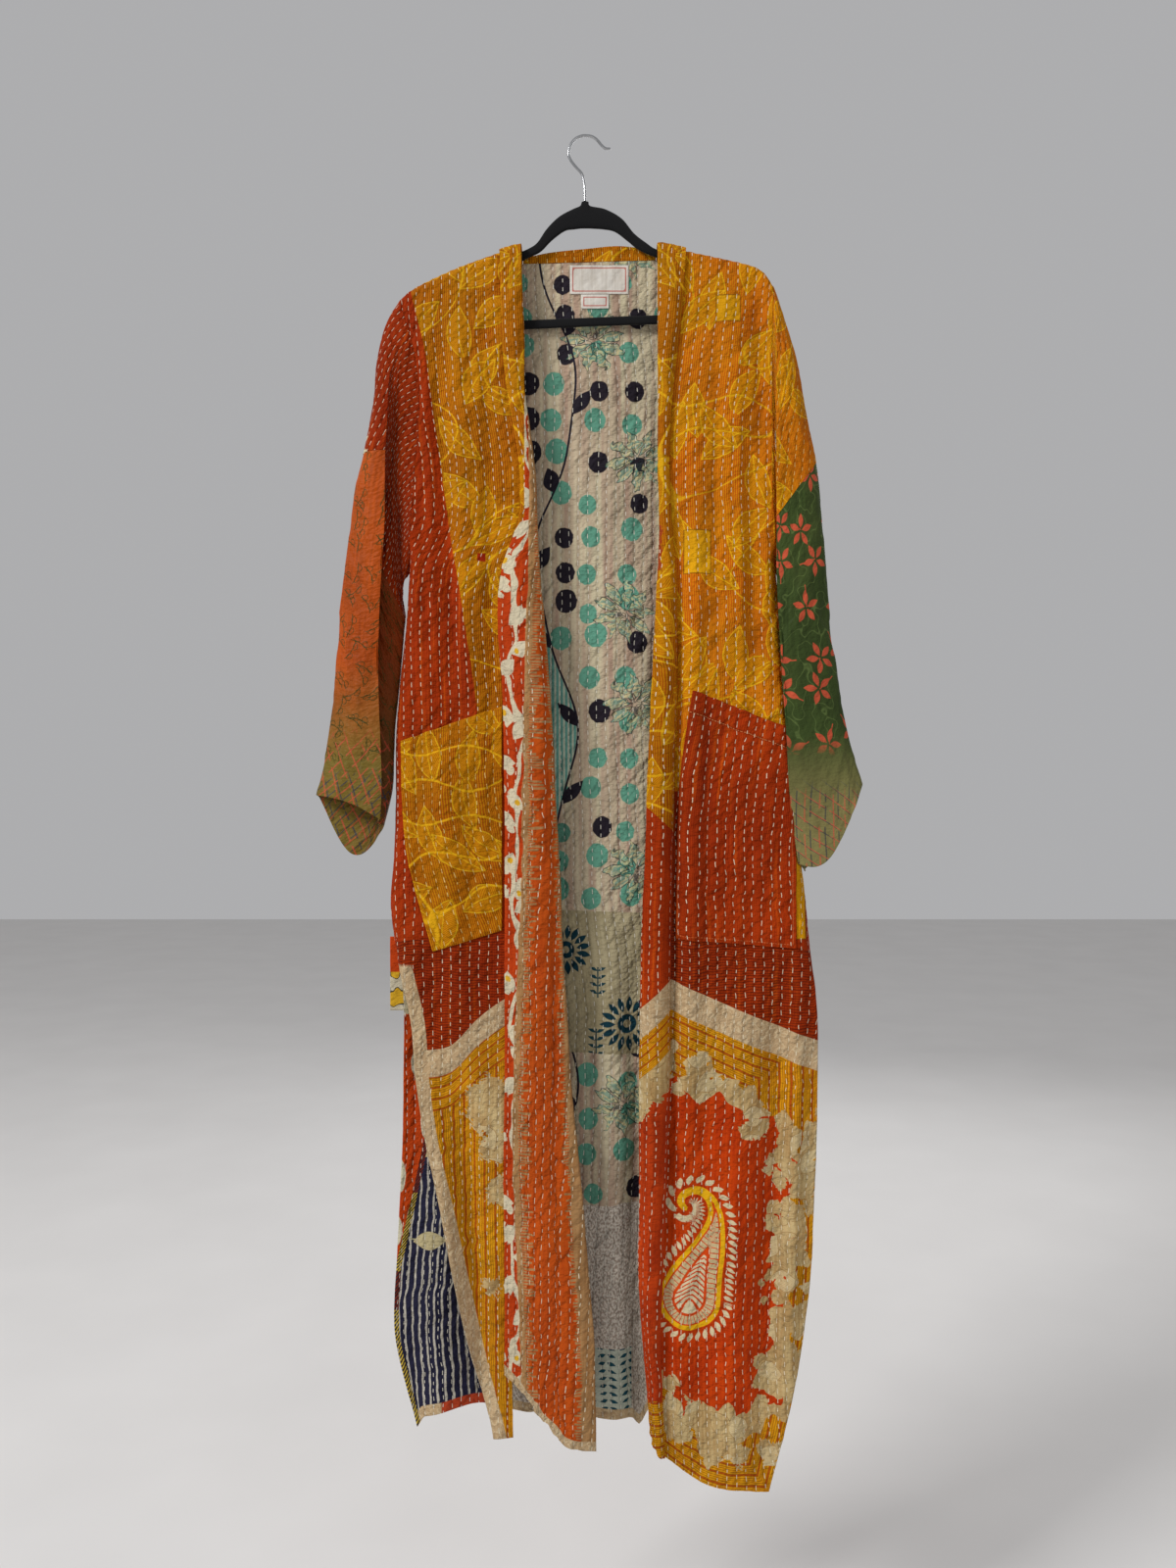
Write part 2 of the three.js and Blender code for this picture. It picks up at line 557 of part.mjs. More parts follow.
/** A neckband down one front: from behind the neck over the shoulder to the hem. */
function frontBand(hand, cells, roll) {
  const left = hand === "left";
  const seam = (z) => along(OUTLINE, "z", hand + "Seam", z);
  const free = (z) => along(OUTLINE, "z", hand + "Free", z);
  const hem = (x) => along(left ? HEMS.bandLeft : HEMS.bandRight, "x", "z", x);
  const behind = [22, 12, 5, 1.2];
  const columns = [];
  for (let cell = 0; cell <= cells; cell += 1) {
    const share = cell / cells;
    const xTop = lerp(seam(-131), free(-131), share);
    const xHem = lerp(seam(-1520), free(-1520), share);
    const column = behind.map((drop) => bodyPoint(1, xTop, ridge(xTop) - drop));
    columnHeights(ridge(xTop), hem(xHem)).forEach((z, row) => {
      const point = bodyPoint(-1, lerp(seam(z), free(z), share), z);
      if (row === 0) point.y = 0;
      column.push(point);
    });
    columns.push(column);
  }
  const grid = columns[0].map((_, row) => columns.map((column) => column[row]));
  const normals = gridNormals(grid, facingOf(grid, -1));
  const lift = (row, column) => {
    const width = Math.abs(grid[row][cells].x - grid[row][0].x);
    const below = smooth((ridge(grid[row][0].x) - grid[row][column].z - 10) / 60);
    const share = column / cells;
    const height = Math.min(width * roll.share, roll.most) * below * Math.sin(Math.PI * share);
    return LIFT + RIB + height;
  };
  const outer = (row, column) => lift(row, column) + QUILT;
  return clothWall("neckband_" + hand, grid, normals, lift, outer, left ? orange : mustard);
}

/** The band across the back of the neck, standing on the back panel's neck edge. */
function neckBack() {
  const cells = 16;
  const grid = [];
  for (let row = 0; row <= 2; row += 1) {
    const line = [];
    for (let cell = 0; cell <= cells; cell += 1) {
      const x = lerp(-74.2, 82.2, cell / cells);
      const low = along(NECK, "x", "seam", x) + SEAM;
      const z = lerp(along(NECK, "x", "top", x), low, row / 2);
      const depth = along(DEPTHS, "z", "back", low);
      line.push(new THREE.Vector3(x, SEAM / 2 + depth, z));
    }
    grid.push(line);
  }
  const normals = gridNormals(grid, facingOf(grid, 1));
  return clothWall("neckband_back", grid, normals, -QUILT, RIB, mustard);
}

/** Ring of a sleeve at its armhole, level with the edges of the front and the back. */
function armholeRing(hand) {
  const out = hand === "left" ? -SEAM : SEAM;
  const shoulder = ridge(hand === "left" ? -217 : 218);
  const heights = ARMHOLE_STEPS.map((share) => lerp(shoulder, UNDERARM, share));
  const edge = (face) => (z, index) => {
    const point = bodyPoint(face, sideEdge(face, hand, z), z);
    if (index === 0 || index === heights.length - 1) point.y = 0;
    point.x += out;
    return point;
  };
  const front = heights.map(edge(-1)).reverse();
  const back = heights.map(edge(1)).slice(1, -1);
  return [...front, ...back];
}

/** Ring of a sleeve from one row of its table, from the inner edge round the front and back. */
function sleeveRing(row) {
  const ring = [];
  const put = (x, y, z) => ring.push(new THREE.Vector3(x, y, z));
  for (let step = 0; step < RECESS_COLUMNS; step += 1) {
    const share = step / RECESS_COLUMNS;
    put(lerp(row.ix, row.gx, share), -row.recess * roundOff(share), lerp(row.iz, row.gz, share));
  }
  for (let step = 0; step < FOLD_COLUMNS; step += 1) {
    const share = step / FOLD_COLUMNS;
    const depth = lerp(row.recess, row.front, smooth(share));
    put(lerp(row.gx, row.fx, share), -depth, lerp(row.gz, row.fz, share));
  }
  FRONT_SHARES.forEach((share) => {
    const z = lerp(row.fz, row.oz, share) - row.frontDrop * Math.sin(Math.PI * share);
    put(lerp(row.fx, row.ox, share), -row.front * Math.sqrt(1 - share * share), z);
  });
  BACK_SHARES.slice(1, -1).forEach((share) => {
    const z = lerp(row.oz, row.iz, share) - row.drop * Math.sin(Math.PI * share);
    const y = row.back * (1 - Math.abs(2 * share - 1) ** 4) ** 0.25;
    put(lerp(row.ox, row.ix, share), y, z);
  });
  return ring;
}

/** All rings of a sleeve, with one more between each pair of rows. */
function sleeveGrid(hand, table) {
  const rings = [armholeRing(hand), ...table.map(sleeveRing)];
  const grid = [];
  rings.slice(0, -1).forEach((ring, index) => {
    const before = rings[Math.max(index - 1, 0)];
    const next = rings[index + 1];
    const after = rings[Math.min(index + 2, rings.length - 1)];
    for (let step = 0; step < RINGS_PER_ROW; step += 1) {
      const t = step / RINGS_PER_ROW;
      grid.push(
        ring.map((point, column) => {
          const leave = next[column].clone().sub(before[column]).multiplyScalar(0.5);
          const arrive = after[column].clone().sub(point).multiplyScalar(0.5);
          const made = point.clone().lerp(next[column], t * t * (3 - 2 * t));
          made.addScaledVector(leave, t * (1 - t) ** 2);
          return made.addScaledVector(arrive, t * t * (t - 1));
        }),
      );
    }
  });
  grid.push(rings[rings.length - 1]);
  return grid;
}

/** The quilted upper part and the silk lower part of a sleeve, 0.3 mm apart at their seam. */
function sleeve(hand, table, seamRow, upperCloth, lowerCloth) {
  const grid = sleeveGrid(hand, table);
  const outwards = hand === "left" ? 1 : -1;
  const normals = gridNormals(grid, outwards, true);
  flattenNormals(normals, grid[0].map((_, column) => [0, column]), "x");
  const split = seamRow * RINGS_PER_ROW;
  const upper = clothWall(
    "sleeve_upper_" + hand,
    grid.slice(0, split + 1),
    normals.slice(0, split + 1),
    (row) => (row === split ? -SILK : -QUILT),
    (row, column) => (row === split ? 0 : quilted(row, column)),
    upperCloth,
    true,
  );
  const lowerGrid = grid.slice(split).map((ring) => ring.map((point) => point.clone()));
  grid[split].forEach((point, column, ring) => {
    const way = grid[split + 1][column].clone().sub(point);
    const next = ring[(column + 1) % ring.length];
    const along = next.clone().sub(ring[(column + ring.length - 1) % ring.length]).normalize();
    way.addScaledVector(along, -way.dot(along)).normalize();
    lowerGrid[0][column].addScaledVector(way, SLEEVE_SEAM);
  });
  const below = normals.slice(split);
  const lower = clothWall("sleeve_lower_" + hand, lowerGrid, below, -SILK, 0, lowerCloth, true);
  return [upper, lower];
}

/** A patch pocket on a front panel, standing off a little at its mouth. */
function pocket(hand, cloth) {
  const table = POCKETS[hand];
  const grid = [];
  for (let row = 0; row <= POCKET_CELLS.down; row += 1) {
    const down = row / POCKET_CELLS.down;
    const edge = (column) => along(table, "share", column, down);
    const line = [];
    for (let cell = 0; cell <= POCKET_CELLS.across; cell += 1) {
      const share = cell / POCKET_CELLS.across;
      const x = lerp(edge("x0"), edge("x1"), share);
      line.push(bodyPoint(-1, x, lerp(edge("z0"), edge("z1"), share)));
    }
    grid.push(line);
  }
  const normals = gridNormals(grid, facingOf(grid, -1));
  const lift = (row, column) => {
    const down = row / POCKET_CELLS.down;
    const between = Math.sin((Math.PI * column) / POCKET_CELLS.across);
    const inside = Math.min(1, 3 * between * (1 - down));
    const mouth = (1 - down) ** 2 * between;
    return lerp(POCKET_SEAT[hand], POCKET_LIFT, inside) + RIB + POCKET_BULGE * mouth;
  };
  const outer = (row, column) => lift(row, column) + QUILT + quilted(row, column);
  return clothWall("pocket_" + hand, grid, normals, lift, outer, cloth);
}

/** A flat piece sewn on the inside (face -1) or the outside (face 1) of the back panel. */
function backPatch(name, size, face, cloth) {
  const grid = [];
  for (let row = 0; row <= 4; row += 1) {
    const z = lerp(size.z0, size.z1, row / 4);
    const line = [];
    for (let cell = 0; cell <= 4; cell += 1) {
      const x = lerp(size.x0, size.x1, cell / 4);
      const inside = Math.max(x, sideEdge(1, "left", z) + SIDE_ROUND);
      const point = bodyPoint(1, inside, z, false);
      point.x = x;
      line.push(point);
    }
    grid.push(line);
  }
  const normals = gridNormals(grid, facingOf(grid, 1));
  const near = face < 0 ? -QUILT - SEAM : LIFT + RIB;
  const far = near + face * size.thick;
  return clothWall(name, grid, normals, Math.min(near, far), Math.max(near, far), cloth);
}

/** The hanger's frame: neck, two arms and the bar between their ends, with bevelled edges. */
function hangerBody() {
  const half = HANGER.thick / 2;
  const rows = HANGER_FRAME.length;
  const positions = [];
  const station = (outer, inner) => {
    const across = inner.clone().sub(outer).normalize().multiplyScalar(HANGER.bevel);
    const section = [
      [outer, 0, half - HANGER.bevel],
      [outer, 1, half],
      [inner, -1, half],
      [inner, 0, half - HANGER.bevel],
      [inner, 0, HANGER.bevel - half],
      [inner, -1, -half],
      [outer, 1, -half],
      [outer, 0, HANGER.bevel - half],
    ];
    section.forEach(([edge, inset, y]) => {
      const point = edge.clone().addScaledVector(across, inset);
      positions.push(point.x, y, point.y);
    });
  };
  const edges = (row) => {
    const { ox, oz, ix, iz } = HANGER_FRAME[(row + rows) % rows];
    return [new THREE.Vector2(ox, oz), new THREE.Vector2(ix, iz)];
  };
  const halfway = (row, edge) => {
    const near = edges(row)[edge].add(edges(row + 1)[edge]).multiplyScalar(9 / 16);
    return near.addScaledVector(edges(row - 1)[edge].add(edges(row + 2)[edge]), -1 / 16);
  };
  for (let row = 0; row < rows; row += 1) {
    station(...edges(row));
    station(halfway(row, 0), halfway(row, 1));
  }
  const index = ringIndex(2 * rows, 8, true);
  return closedMesh("hanger_body", positions, index, velvet);
}

/** Faces of a tube of so many stations and sides; a closed one joins its last station to its first. */
function ringIndex(stations, sides, closed) {
  const at = (step, side) => (step % stations) * sides + (side % sides);
  const index = [];
  const spans = closed ? stations : stations - 1;
  for (let step = 0; step < spans; step += 1) {
    for (let side = 0; side < sides; side += 1) {
      const [a, b] = [at(step, side), at(step, side + 1)];
      const [c, d] = [at(step + 1, side + 1), at(step + 1, side)];
      index.push(a, b, c, a, c, d);
    }
  }
  return index;
}

/** The hook: a round wire swept along its centre line and closed at both ends. */
function hangerHook() {
  const curve = new THREE.CatmullRomCurve3(HOOK.map(([x, z]) => new THREE.Vector3(x, 0, z)));
  const positions = [];
  for (let step = 0; step <= HOOK_STEPS; step += 1) {
    const centre = curve.getPointAt(step / HOOK_STEPS);
    const way = curve.getTangentAt(step / HOOK_STEPS);
    const out = new THREE.Vector3(way.z, 0, -way.x);
    for (let side = 0; side < HOOK_SIDES; side += 1) {
      const turn = (2 * Math.PI * side) / HOOK_SIDES;
      const point = centre.clone().addScaledVector(out, WIRE * Math.cos(turn));
      positions.push(point.x, WIRE * Math.sin(turn), point.z);
    }
  }
  const index = ringIndex(HOOK_STEPS + 1, HOOK_SIDES, false);
  const at = (step, side) => step * HOOK_SIDES + side;
  for (let side = 1; side < HOOK_SIDES - 1; side += 1) {
    index.push(at(0, 0), at(0, side + 1), at(0, side));
    index.push(at(HOOK_STEPS, 0), at(HOOK_STEPS, side), at(HOOK_STEPS, side + 1));
  }
  return closedMesh("hanger_hook", positions, index, wire);
}

garment.add(hangerBody(), hangerHook());
garment.add(backPanel(), frontPanel("left"), frontPanel("right"));
garment.add(frontBand("left", 6, { share: 0.16, most: 9 }));
garment.add(frontBand("right", 4, { share: 0.24, most: 8 }));
garment.add(neckBack());
garment.add(...sleeve("left", LEFT_SLEEVE, 4, orangeRed, rust));
garment.add(...sleeve("right", RIGHT_SLEEVE, 5, mustard, greenSilk));
garment.add(pocket("left", mustard), pocket("right", orangeRed));
garment.add(backPatch("side_tie", SIDE_TIE, 1, floral));
garment.add(backPatch("label", LABEL, -1, white), backPatch("care_tag", CARE_TAG, -1, white));

export default garment;
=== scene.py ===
"""Dresses the long quilted kimono on its hanger: cloth, prints, stitches, light and camera."""

import logging
import math
from dataclasses import dataclass
from enum import Enum
from typing import Callable, Optional, Sequence, Union

import bpy
import numpy as np
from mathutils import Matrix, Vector

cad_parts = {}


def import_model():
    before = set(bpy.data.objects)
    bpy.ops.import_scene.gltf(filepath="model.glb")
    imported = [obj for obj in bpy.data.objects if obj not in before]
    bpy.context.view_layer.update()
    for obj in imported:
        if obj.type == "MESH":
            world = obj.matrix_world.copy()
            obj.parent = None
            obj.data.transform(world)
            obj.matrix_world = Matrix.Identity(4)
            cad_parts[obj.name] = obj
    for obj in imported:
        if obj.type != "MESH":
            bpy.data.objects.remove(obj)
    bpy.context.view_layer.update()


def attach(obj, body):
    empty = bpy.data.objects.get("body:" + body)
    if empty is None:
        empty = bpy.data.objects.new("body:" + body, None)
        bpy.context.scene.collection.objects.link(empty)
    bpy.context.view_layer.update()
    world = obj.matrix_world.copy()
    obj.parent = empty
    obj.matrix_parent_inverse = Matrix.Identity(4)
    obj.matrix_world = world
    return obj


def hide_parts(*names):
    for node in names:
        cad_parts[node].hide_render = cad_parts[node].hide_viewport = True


Array = np.ndarray
Colour = tuple[float, float, float]
Piece = bpy.types.Object
Material = bpy.types.Material
Cloths = Sequence[bpy.types.Material]
Node = bpy.types.Node
NodeTree = bpy.types.NodeTree
NodeSocket = bpy.types.NodeSocket
log = logging.getLogger("kimono")

MM = 0.001  # metres in a millimetre; tables and surfaces are in millimetres
SEAM = 0.3  # space between two pieces at a seam
LIFT = 0.9  # space under a piece that lies on a panel
RIB = 0.5  # room for the raised rows of a panel under what lies on it
SHOULDER_ROUND = 10.0  # radius of the cloth over the hanger's arms
SIDE_ROUND = 13.0  # radius of the cloth round a side seam
UNDERARM = -511.0
SLIT_TOP, SLIT_OPEN = -935.0, -1000.0
MARGIN = 9.0  # width of a front panel under its neckband
ROW_PITCH = 11.0  # distance between two rows of running stitches
TOP_LEVEL, LOW_LEVEL = -131.0, -1520.0  # levels that place the columns at the shoulders and at the hem
SHARP_ANGLE = 55.0  # degrees between faces past which an edge stays sharp


class Hand(Enum):
    """Side of the robe, as seen from the front."""

    LEFT = "left"
    RIGHT = "right"


class Face(Enum):
    """Front or back of the robe, as the sign of its side of the hanger's plane."""

    FRONT = -1
    BACK = 1


def smooth(share: Array) -> Array:
    """Rise from 0 to 1 with level ends."""
    share = np.clip(share, 0, 1)
    return share * share * (3 - 2 * share)


def round_off(share: Array) -> Array:
    """Height of a quarter circle over its share of the way from the edge, from 0 to 1."""
    return np.sqrt(1 - (1 - np.clip(share, 0, 1)) ** 2)


def lerp(start: Array, end: Array, share: Array) -> Array:
    """Value at a share of the way from start to end."""
    return start + (end - start) * share


def value_noise(x: Array, y: Array, size: float, seed: int) -> Array:
    """Soft random bumps from -1 to 1.

    Args:
        x: Place across, in millimetres.
        y: Place along, in millimetres.
        size: Distance between two random heights.
        seed: Number that fixes the heights.

    Returns:
        The height at each place, blended between the four random heights around it.
    """
    heights = np.random.default_rng(seed).uniform(-1, 1, (64, 64))
    column, row = np.floor(x / size).astype(int), np.floor(y / size).astype(int)
    across, down = smooth(x / size - column), smooth(y / size - row)
    near = lerp(heights[column % 64, row % 64], heights[(column + 1) % 64, row % 64], across)
    far = lerp(heights[column % 64, (row + 1) % 64], heights[(column + 1) % 64, (row + 1) % 64], across)
    return lerp(near, far, down)


class Table:
    """Rows of named columns, read on a smooth curve through the rows."""

    def __init__(self, names: str, *rows: Sequence[float]) -> None:
        """Keep each column under its name."""
        self.columns = dict(zip(names.split(), np.array(rows, float).T))

    def at(self, key: str, name: str, place: Union[Array, float]) -> Array:
        """Read a column.

        Args:
            key: The column that rises or falls all the way.
            name: The column to read.
            place: Values of the key column.

        Returns:
            The column's values there; each stretch leaves a row at the mean slope around it.
        """
        keys, values = self.columns[key], self.columns[name]
        if keys[0] > keys[-1]:
            keys, values = keys[::-1], values[::-1]
        slopes = np.empty_like(values)
        slopes[1:-1] = (values[2:] - values[:-2]) / (keys[2:] - keys[:-2])
        slopes[0] = (values[1] - values[0]) / (keys[1] - keys[0])
        slopes[-1] = (values[-1] - values[-2]) / (keys[-1] - keys[-2])
        place = np.clip(place, keys[0], keys[-1])
        row = np.clip(np.searchsorted(keys, place, side="right") - 1, 0, len(keys) - 2)
        span = keys[row + 1] - keys[row]
        t = (place - keys[row]) / span
        middle = lerp(values[row], values[row + 1], t * t * (3 - 2 * t))
        leave = t * (1 - t) ** 2 * span * slopes[row]
        return middle + leave + t * t * (t - 1) * span * slopes[row + 1]


OUTLINE = Table(
    "z left_side left_seam left_free right_free right_seam right_side",
    (-131, -217, -100, -75, 83, 116, 218),
    (-176, -217, -100, -74, 83, 114, 218),
    (-200, -215, -99, -73, 83, 112, 217),
    (-250, -201, -97, -71, 83, 107, 216),
    (-300, -194, -92, -71, 83, 101, 216),
    (-350, -195, -83, -64, 83, 98, 216),
    (-400, -200, -77, -58, 83, 97, 216),
    (-450, -202, -78, -56, 85, 99, 218),
    (-511, -206, -98, -53, 83, 103, 222),
    (-570, -210, -102, -48, 80, 106, 227),
    (-640, -217, -97, -42, 76, 107, 232),
    (-700, -222, -95, -38, 73, 104, 237),
    (-770, -222, -94, -35, 70, 101, 243),
    (-840, -224, -94, -31, 68, 99, 250),
    (-900, -228, -94, -28, 65, 98, 257),
    (-960, -219, -94, -26, 63, 97, 262),
    (-1030, -203, -94, -21, 62, 96, 268),
    (-1100, -197, -94, -17, 61, 95, 268),
    (-1170, -186, -95, -10, 61, 92, 267),
    (-1240, -170, -95, -4, 61, 90, 264),
    (-1320, -154, -94, 3, 60, 87, 260),
    (-1400, -137, -94, 10, 65, 85, 250),
    (-1460, -121, -94, 11, 70, 87, 239),
    (-1516, -107, -93, 12, 74, 90, 226),
    (-1574, -107, -93, 12, 76, 92, 211),
)
BACK_SIDES = Table(
    "z left right",
    (-900, -228, 257),
    (-960, -219, 262),
    (-1030, -215, 267),
    (-1100, -216, 266),
    (-1170, -217, 264),
    (-1240, -220, 260),
    (-1320, -224, 255),
    (-1400, -227, 249),
    (-1460, -216, 243),
    (-1520, -200, 234),
)
RIDGE = Table(
    "x z",
    (-217, -193),
    (-204, -181),
    (-158, -158),
    (-113, -141),
    (-72, -130),
    (85, -129),
    (117, -135),
    (163, -145),
    (195, -153),
    (208, -161),
    (218, -176),
)
NECK = Table(
    "x seam top",
    (-76, -145.5, -139),
    (-44, -144.6, -132),
    (2, -143.3, -127),
    (35, -142.4, -124),
    (60, -141.7, -126),
    (84, -141, -131),
)
NECK_LEFT, NECK_RIGHT, NECK_WIDTH = -88.0, 96.0, 10.0
HEMS = {
    "front_left": Table("x z", (-107, -1515), (-80, -1512), (-40, -1511)),
    "band_left": Table("x z", (-93, -1438), (-68, -1462), (-33, -1505), (-21, -1519), (12, -1527)),
    "band_right": Table("x z", (74, -1504), (80, -1527), (90, -1535)),
    "front_right": Table("x z", (80, -1527), (117, -1552), (148, -1566), (211, -1574)),
    "back": Table(
        "x z",
        (-200, -1520),
        (-185, -1505),
        (-124, -1493),
        (-96, -1498),
        (14, -1507),
        (53, -1509),
        (64, -1520),
        (78, -1496),
        (234, -1512),
    ),
}
DEPTHS = Table(
    "z front back",
    (-130, 10, 9),
    (-400, 14, 10),
    (-800, 17, 12),
    (-1200, 19, 14),
    (-1600, 22, 16),
)

# Folds: x and z at the top and at the bottom, width, depth; a positive depth stands outwards.
FRONT_FOLDS = (
    (-150, -150, -136, -700, 16, 6),
    (-176, -200, -146, -700, 10, -5),
    (-210, -380, -184, -720, 14, 6),
    (-164, -690, -146, -1060, 22, 7),
    (-182, -1060, -130, -1560, 14, 8),
    (-148, -1050, -108, -1600, 12, -6),
    (109, -360, 92, -1600, 10, -9),
    (130, -180, 116, -1300, 16, 7),
    (198, -140, 208, -420, 10, -5),
    (166, -120, 172, -700, 18, 6),
    (190, -320, 200, -660, 12, -5),
    (184, -940, 158, -1640, 24, 9),
    (224, -940, 202, -1640, 15, -6),
    (252, -900, 222, -1560, 12, 6),
)
BACK_FOLDS = (
    (-30, -620, -44, -1760, 24, 8),
    (26, -820, 36, -1760, 15, -6),
    (58, -860, 64, -1760, 12, 8),
    (124, -420, 132, -1760, 30, 9),
    (-108, -520, -122, -1760, 30, 8),
    (-160, -860, -176, -1760, 18, -6),
    (196, -620, 202, -1760, 24, -6),
)
FRONT_LINES = (
    (-190, -230, -172, -690, 6, 2.2),
    (-162, -210, -152, -640, 5, -2.0),
    (-128, -160, -121, -640, 6, 2.0),
    (-112, -210, -108, -900, 5, -1.6),
    (-206, -590, -203, -930, 6, 2.2),
    (-176, -740, -160, -1010, 6, -1.8),
    (-122, -700, -118, -1020, 5, 1.6),
    (-136, -1090, -118, -1560, 6, -2.0),
    (-168, -1180, -130, -1560, 5, 2.0),
    (-60, -480, -48, -1100, 9, 1.8),
    (-40, -900, -30, -1580, 8, -2.2),
    (-10, -1080, -4, -1560, 7, 1.8),
    (152, -180, 150, -660, 6, -2.2),
    (176, -220, 184, -820, 5, 2.0),
    (140, -400, 136, -960, 5, -1.6),
    (206, -430, 214, -900, 6, 2.2),
    (150, -700, 148, -1100, 7, 2.0),
    (190, -740, 186, -1060, 6, -1.8),
    (140, -1080, 126, -1600, 7, -2.2),
    (176, -1140, 166, -1620, 6, 2.0),
    (230, -1020, 214, -1560, 7, -2.4),
    (246, -960, 236, -1500, 6, 1.8),
)
BACK_LINES = (
    (-190, -200, -186, -760, 9, -2.2),
    (-140, -180, -136, -900, 8, 2.0),
    (-84, -180, -78, -1100, 9, -2.0),
    (-20, -200, -24, -820, 7, 1.8),
    (30, -180, 26, -940, 8, -2.0),
    (84, -200, 82, -1240, 7, 1.8),
    (150, -190, 158, -1000, 9, -2.2),
    (196, -200, 204, -700, 8, 2.2),
    (-60, -940, -70, -1700, 7, -2.2),
    (6, -1000, 8, -1700, 6, 2.0),
    (92, -980, 98, -1700, 8, -2.2),
    (166, -900, 172, -1700, 8, 2.0),
    (232, -860, 236, -1600, 9, 2.2),
    (-200, -920, -206, -1600, 8, 2.2),
)
# Cross creases: x and z of the middle, half length, width, depth, turn in degrees.
FRONT_CREASES = (
    (-165, -716, 34, 5, -1.8, 16),
    (-150, -742, 40, 6, 1.6, 12),
    (-160, -900, 30, 5, -1.4, 20),
    (-190, -980, 22, 6, -1.8, -24),
    (-140, -1110, 30, 6, 1.8, 18),
    (-150, -1180, 24, 6, -2.0, 20),
    (-130, -1300, 26, 7, 2.0, 16),
    (-118, -1400, 22, 6, -1.8, 14),
    (170, -806, 34, 4, -2.0, -10),
    (206, -790, 24, 4, -2.2, -12),
    (150, -840, 30, 5, 1.6, -8),
    (190, -868, 34, 4, -1.8, -12),
    (150, -560, 30, 7, -1.6, 14),
    (170, -430, 34, 7, 1.5, 28),
    (240, -1100, 26, 7, 2.2, 20),
    (230, -1260, 30, 7, -2.4, -18),
    (150, -1420, 40, 6, -1.6, 2),
    (200, -1500, 36, 7, 2.2, -24),
    (-30, -1330, 30, 7, -1.6, -20),
    (-20, -1450, 28, 7, 1.6, -30),
)
BACK_CREASES = (
    (-60, -420, 50, 9, -1.6, 10),
    (90, -520, 56, 9, 1.6, -8),
    (-140, -700, 44, 9, 1.8, 12),
    (150, -860, 50, 9, -1.8, -10),
    (0, -1060, 60, 8, -1.6, 6),
    (-150, -1220, 44, 9, 2.0, -12),
    (120, -1340, 50, 9, 2.0, 14),
    (20, -1400, 44, 8, -1.8, -8),
)


def fold_depth(folds: Sequence[Sequence[float]], x: Array, z: Array) -> Array:
    """Sum of the folds at a point.

    Args:
        folds: Rows of x and z at both ends, width and depth.
        x: Place across.
        z: Height.

    Returns:
        The depth: a bell curve across each fold, faded over a quarter of its length at both ends.
    """
    total = np.zeros(np.broadcast(x, z).shape)
    for x0, z0, x1, z1, width, depth in folds:
        way = (z - z0) / (z1 - z0)
        fade = smooth(np.minimum(way, 1 - way) * 4)
        total += depth * fade * np.exp(-(((x - lerp(x0, x1, way)) / width) ** 2))
    return total


def crease_depth(creases: Sequence[Sequence[float]], x: Array, z: Array) -> Array:
    """Sum of the cross creases at a point: a bell curve across and a wider one along each.

    Args:
        creases: Rows of middle, half length, half width, depth and turn in degrees.
        x: Place across.
        z: Height.

    Returns:
        The depth at each place.
    """
    total = np.zeros(np.broadcast(x, z).shape)
    for x0, z0, half, width, depth, turn in creases:
        cosine, sine = math.cos(math.radians(turn)), math.sin(math.radians(turn))
        along = (x - x0) * cosine + (z - z0) * sine
        across = (z - z0) * cosine - (x - x0) * sine
        total += depth * np.exp(-((along / half) ** 2) - (across / width) ** 2)
    return total


def ridge(x: Array) -> Array:
    """Height of the shoulders."""
    return RIDGE.at("x", "z", x)


def side_edge(face: Face, hand: Hand, z: Array) -> Array:
    """Side edge of the front or the back; the back's leaves the front's below the slits.

    Args:
        face: Front or back.
        hand: Left or right.
        z: Height.

    Returns:
        The place across of the edge at each height.
    """
    front = OUTLINE.at("z", hand.value + "_side", z)
    if face is Face.FRONT:
        return front
    return np.where(np.asarray(z) < -900, BACK_SIDES.at("z", hand.value, z), front)


def openness(z: Array) -> Array:
    """How open a side edge is: 0 at the side seam, 1 in the armhole and in the slit."""
    return np.maximum(smooth((z - UNDERARM) / 45), slit_share(z))


def slit_share(z: Array) -> Array:
    """Share of the slit's opening at a height."""
    return smooth((SLIT_TOP - z) / (SLIT_TOP - SLIT_OPEN))


def neck_share(x: Array) -> Array:
    """Share of the neck opening across the back: 0 under the shoulders, 1 in the neck."""
    left = smooth((x - NECK_LEFT + NECK_WIDTH) / NECK_WIDTH)
    return np.minimum(left, smooth((NECK_RIGHT + NECK_WIDTH - x) / NECK_WIDTH))


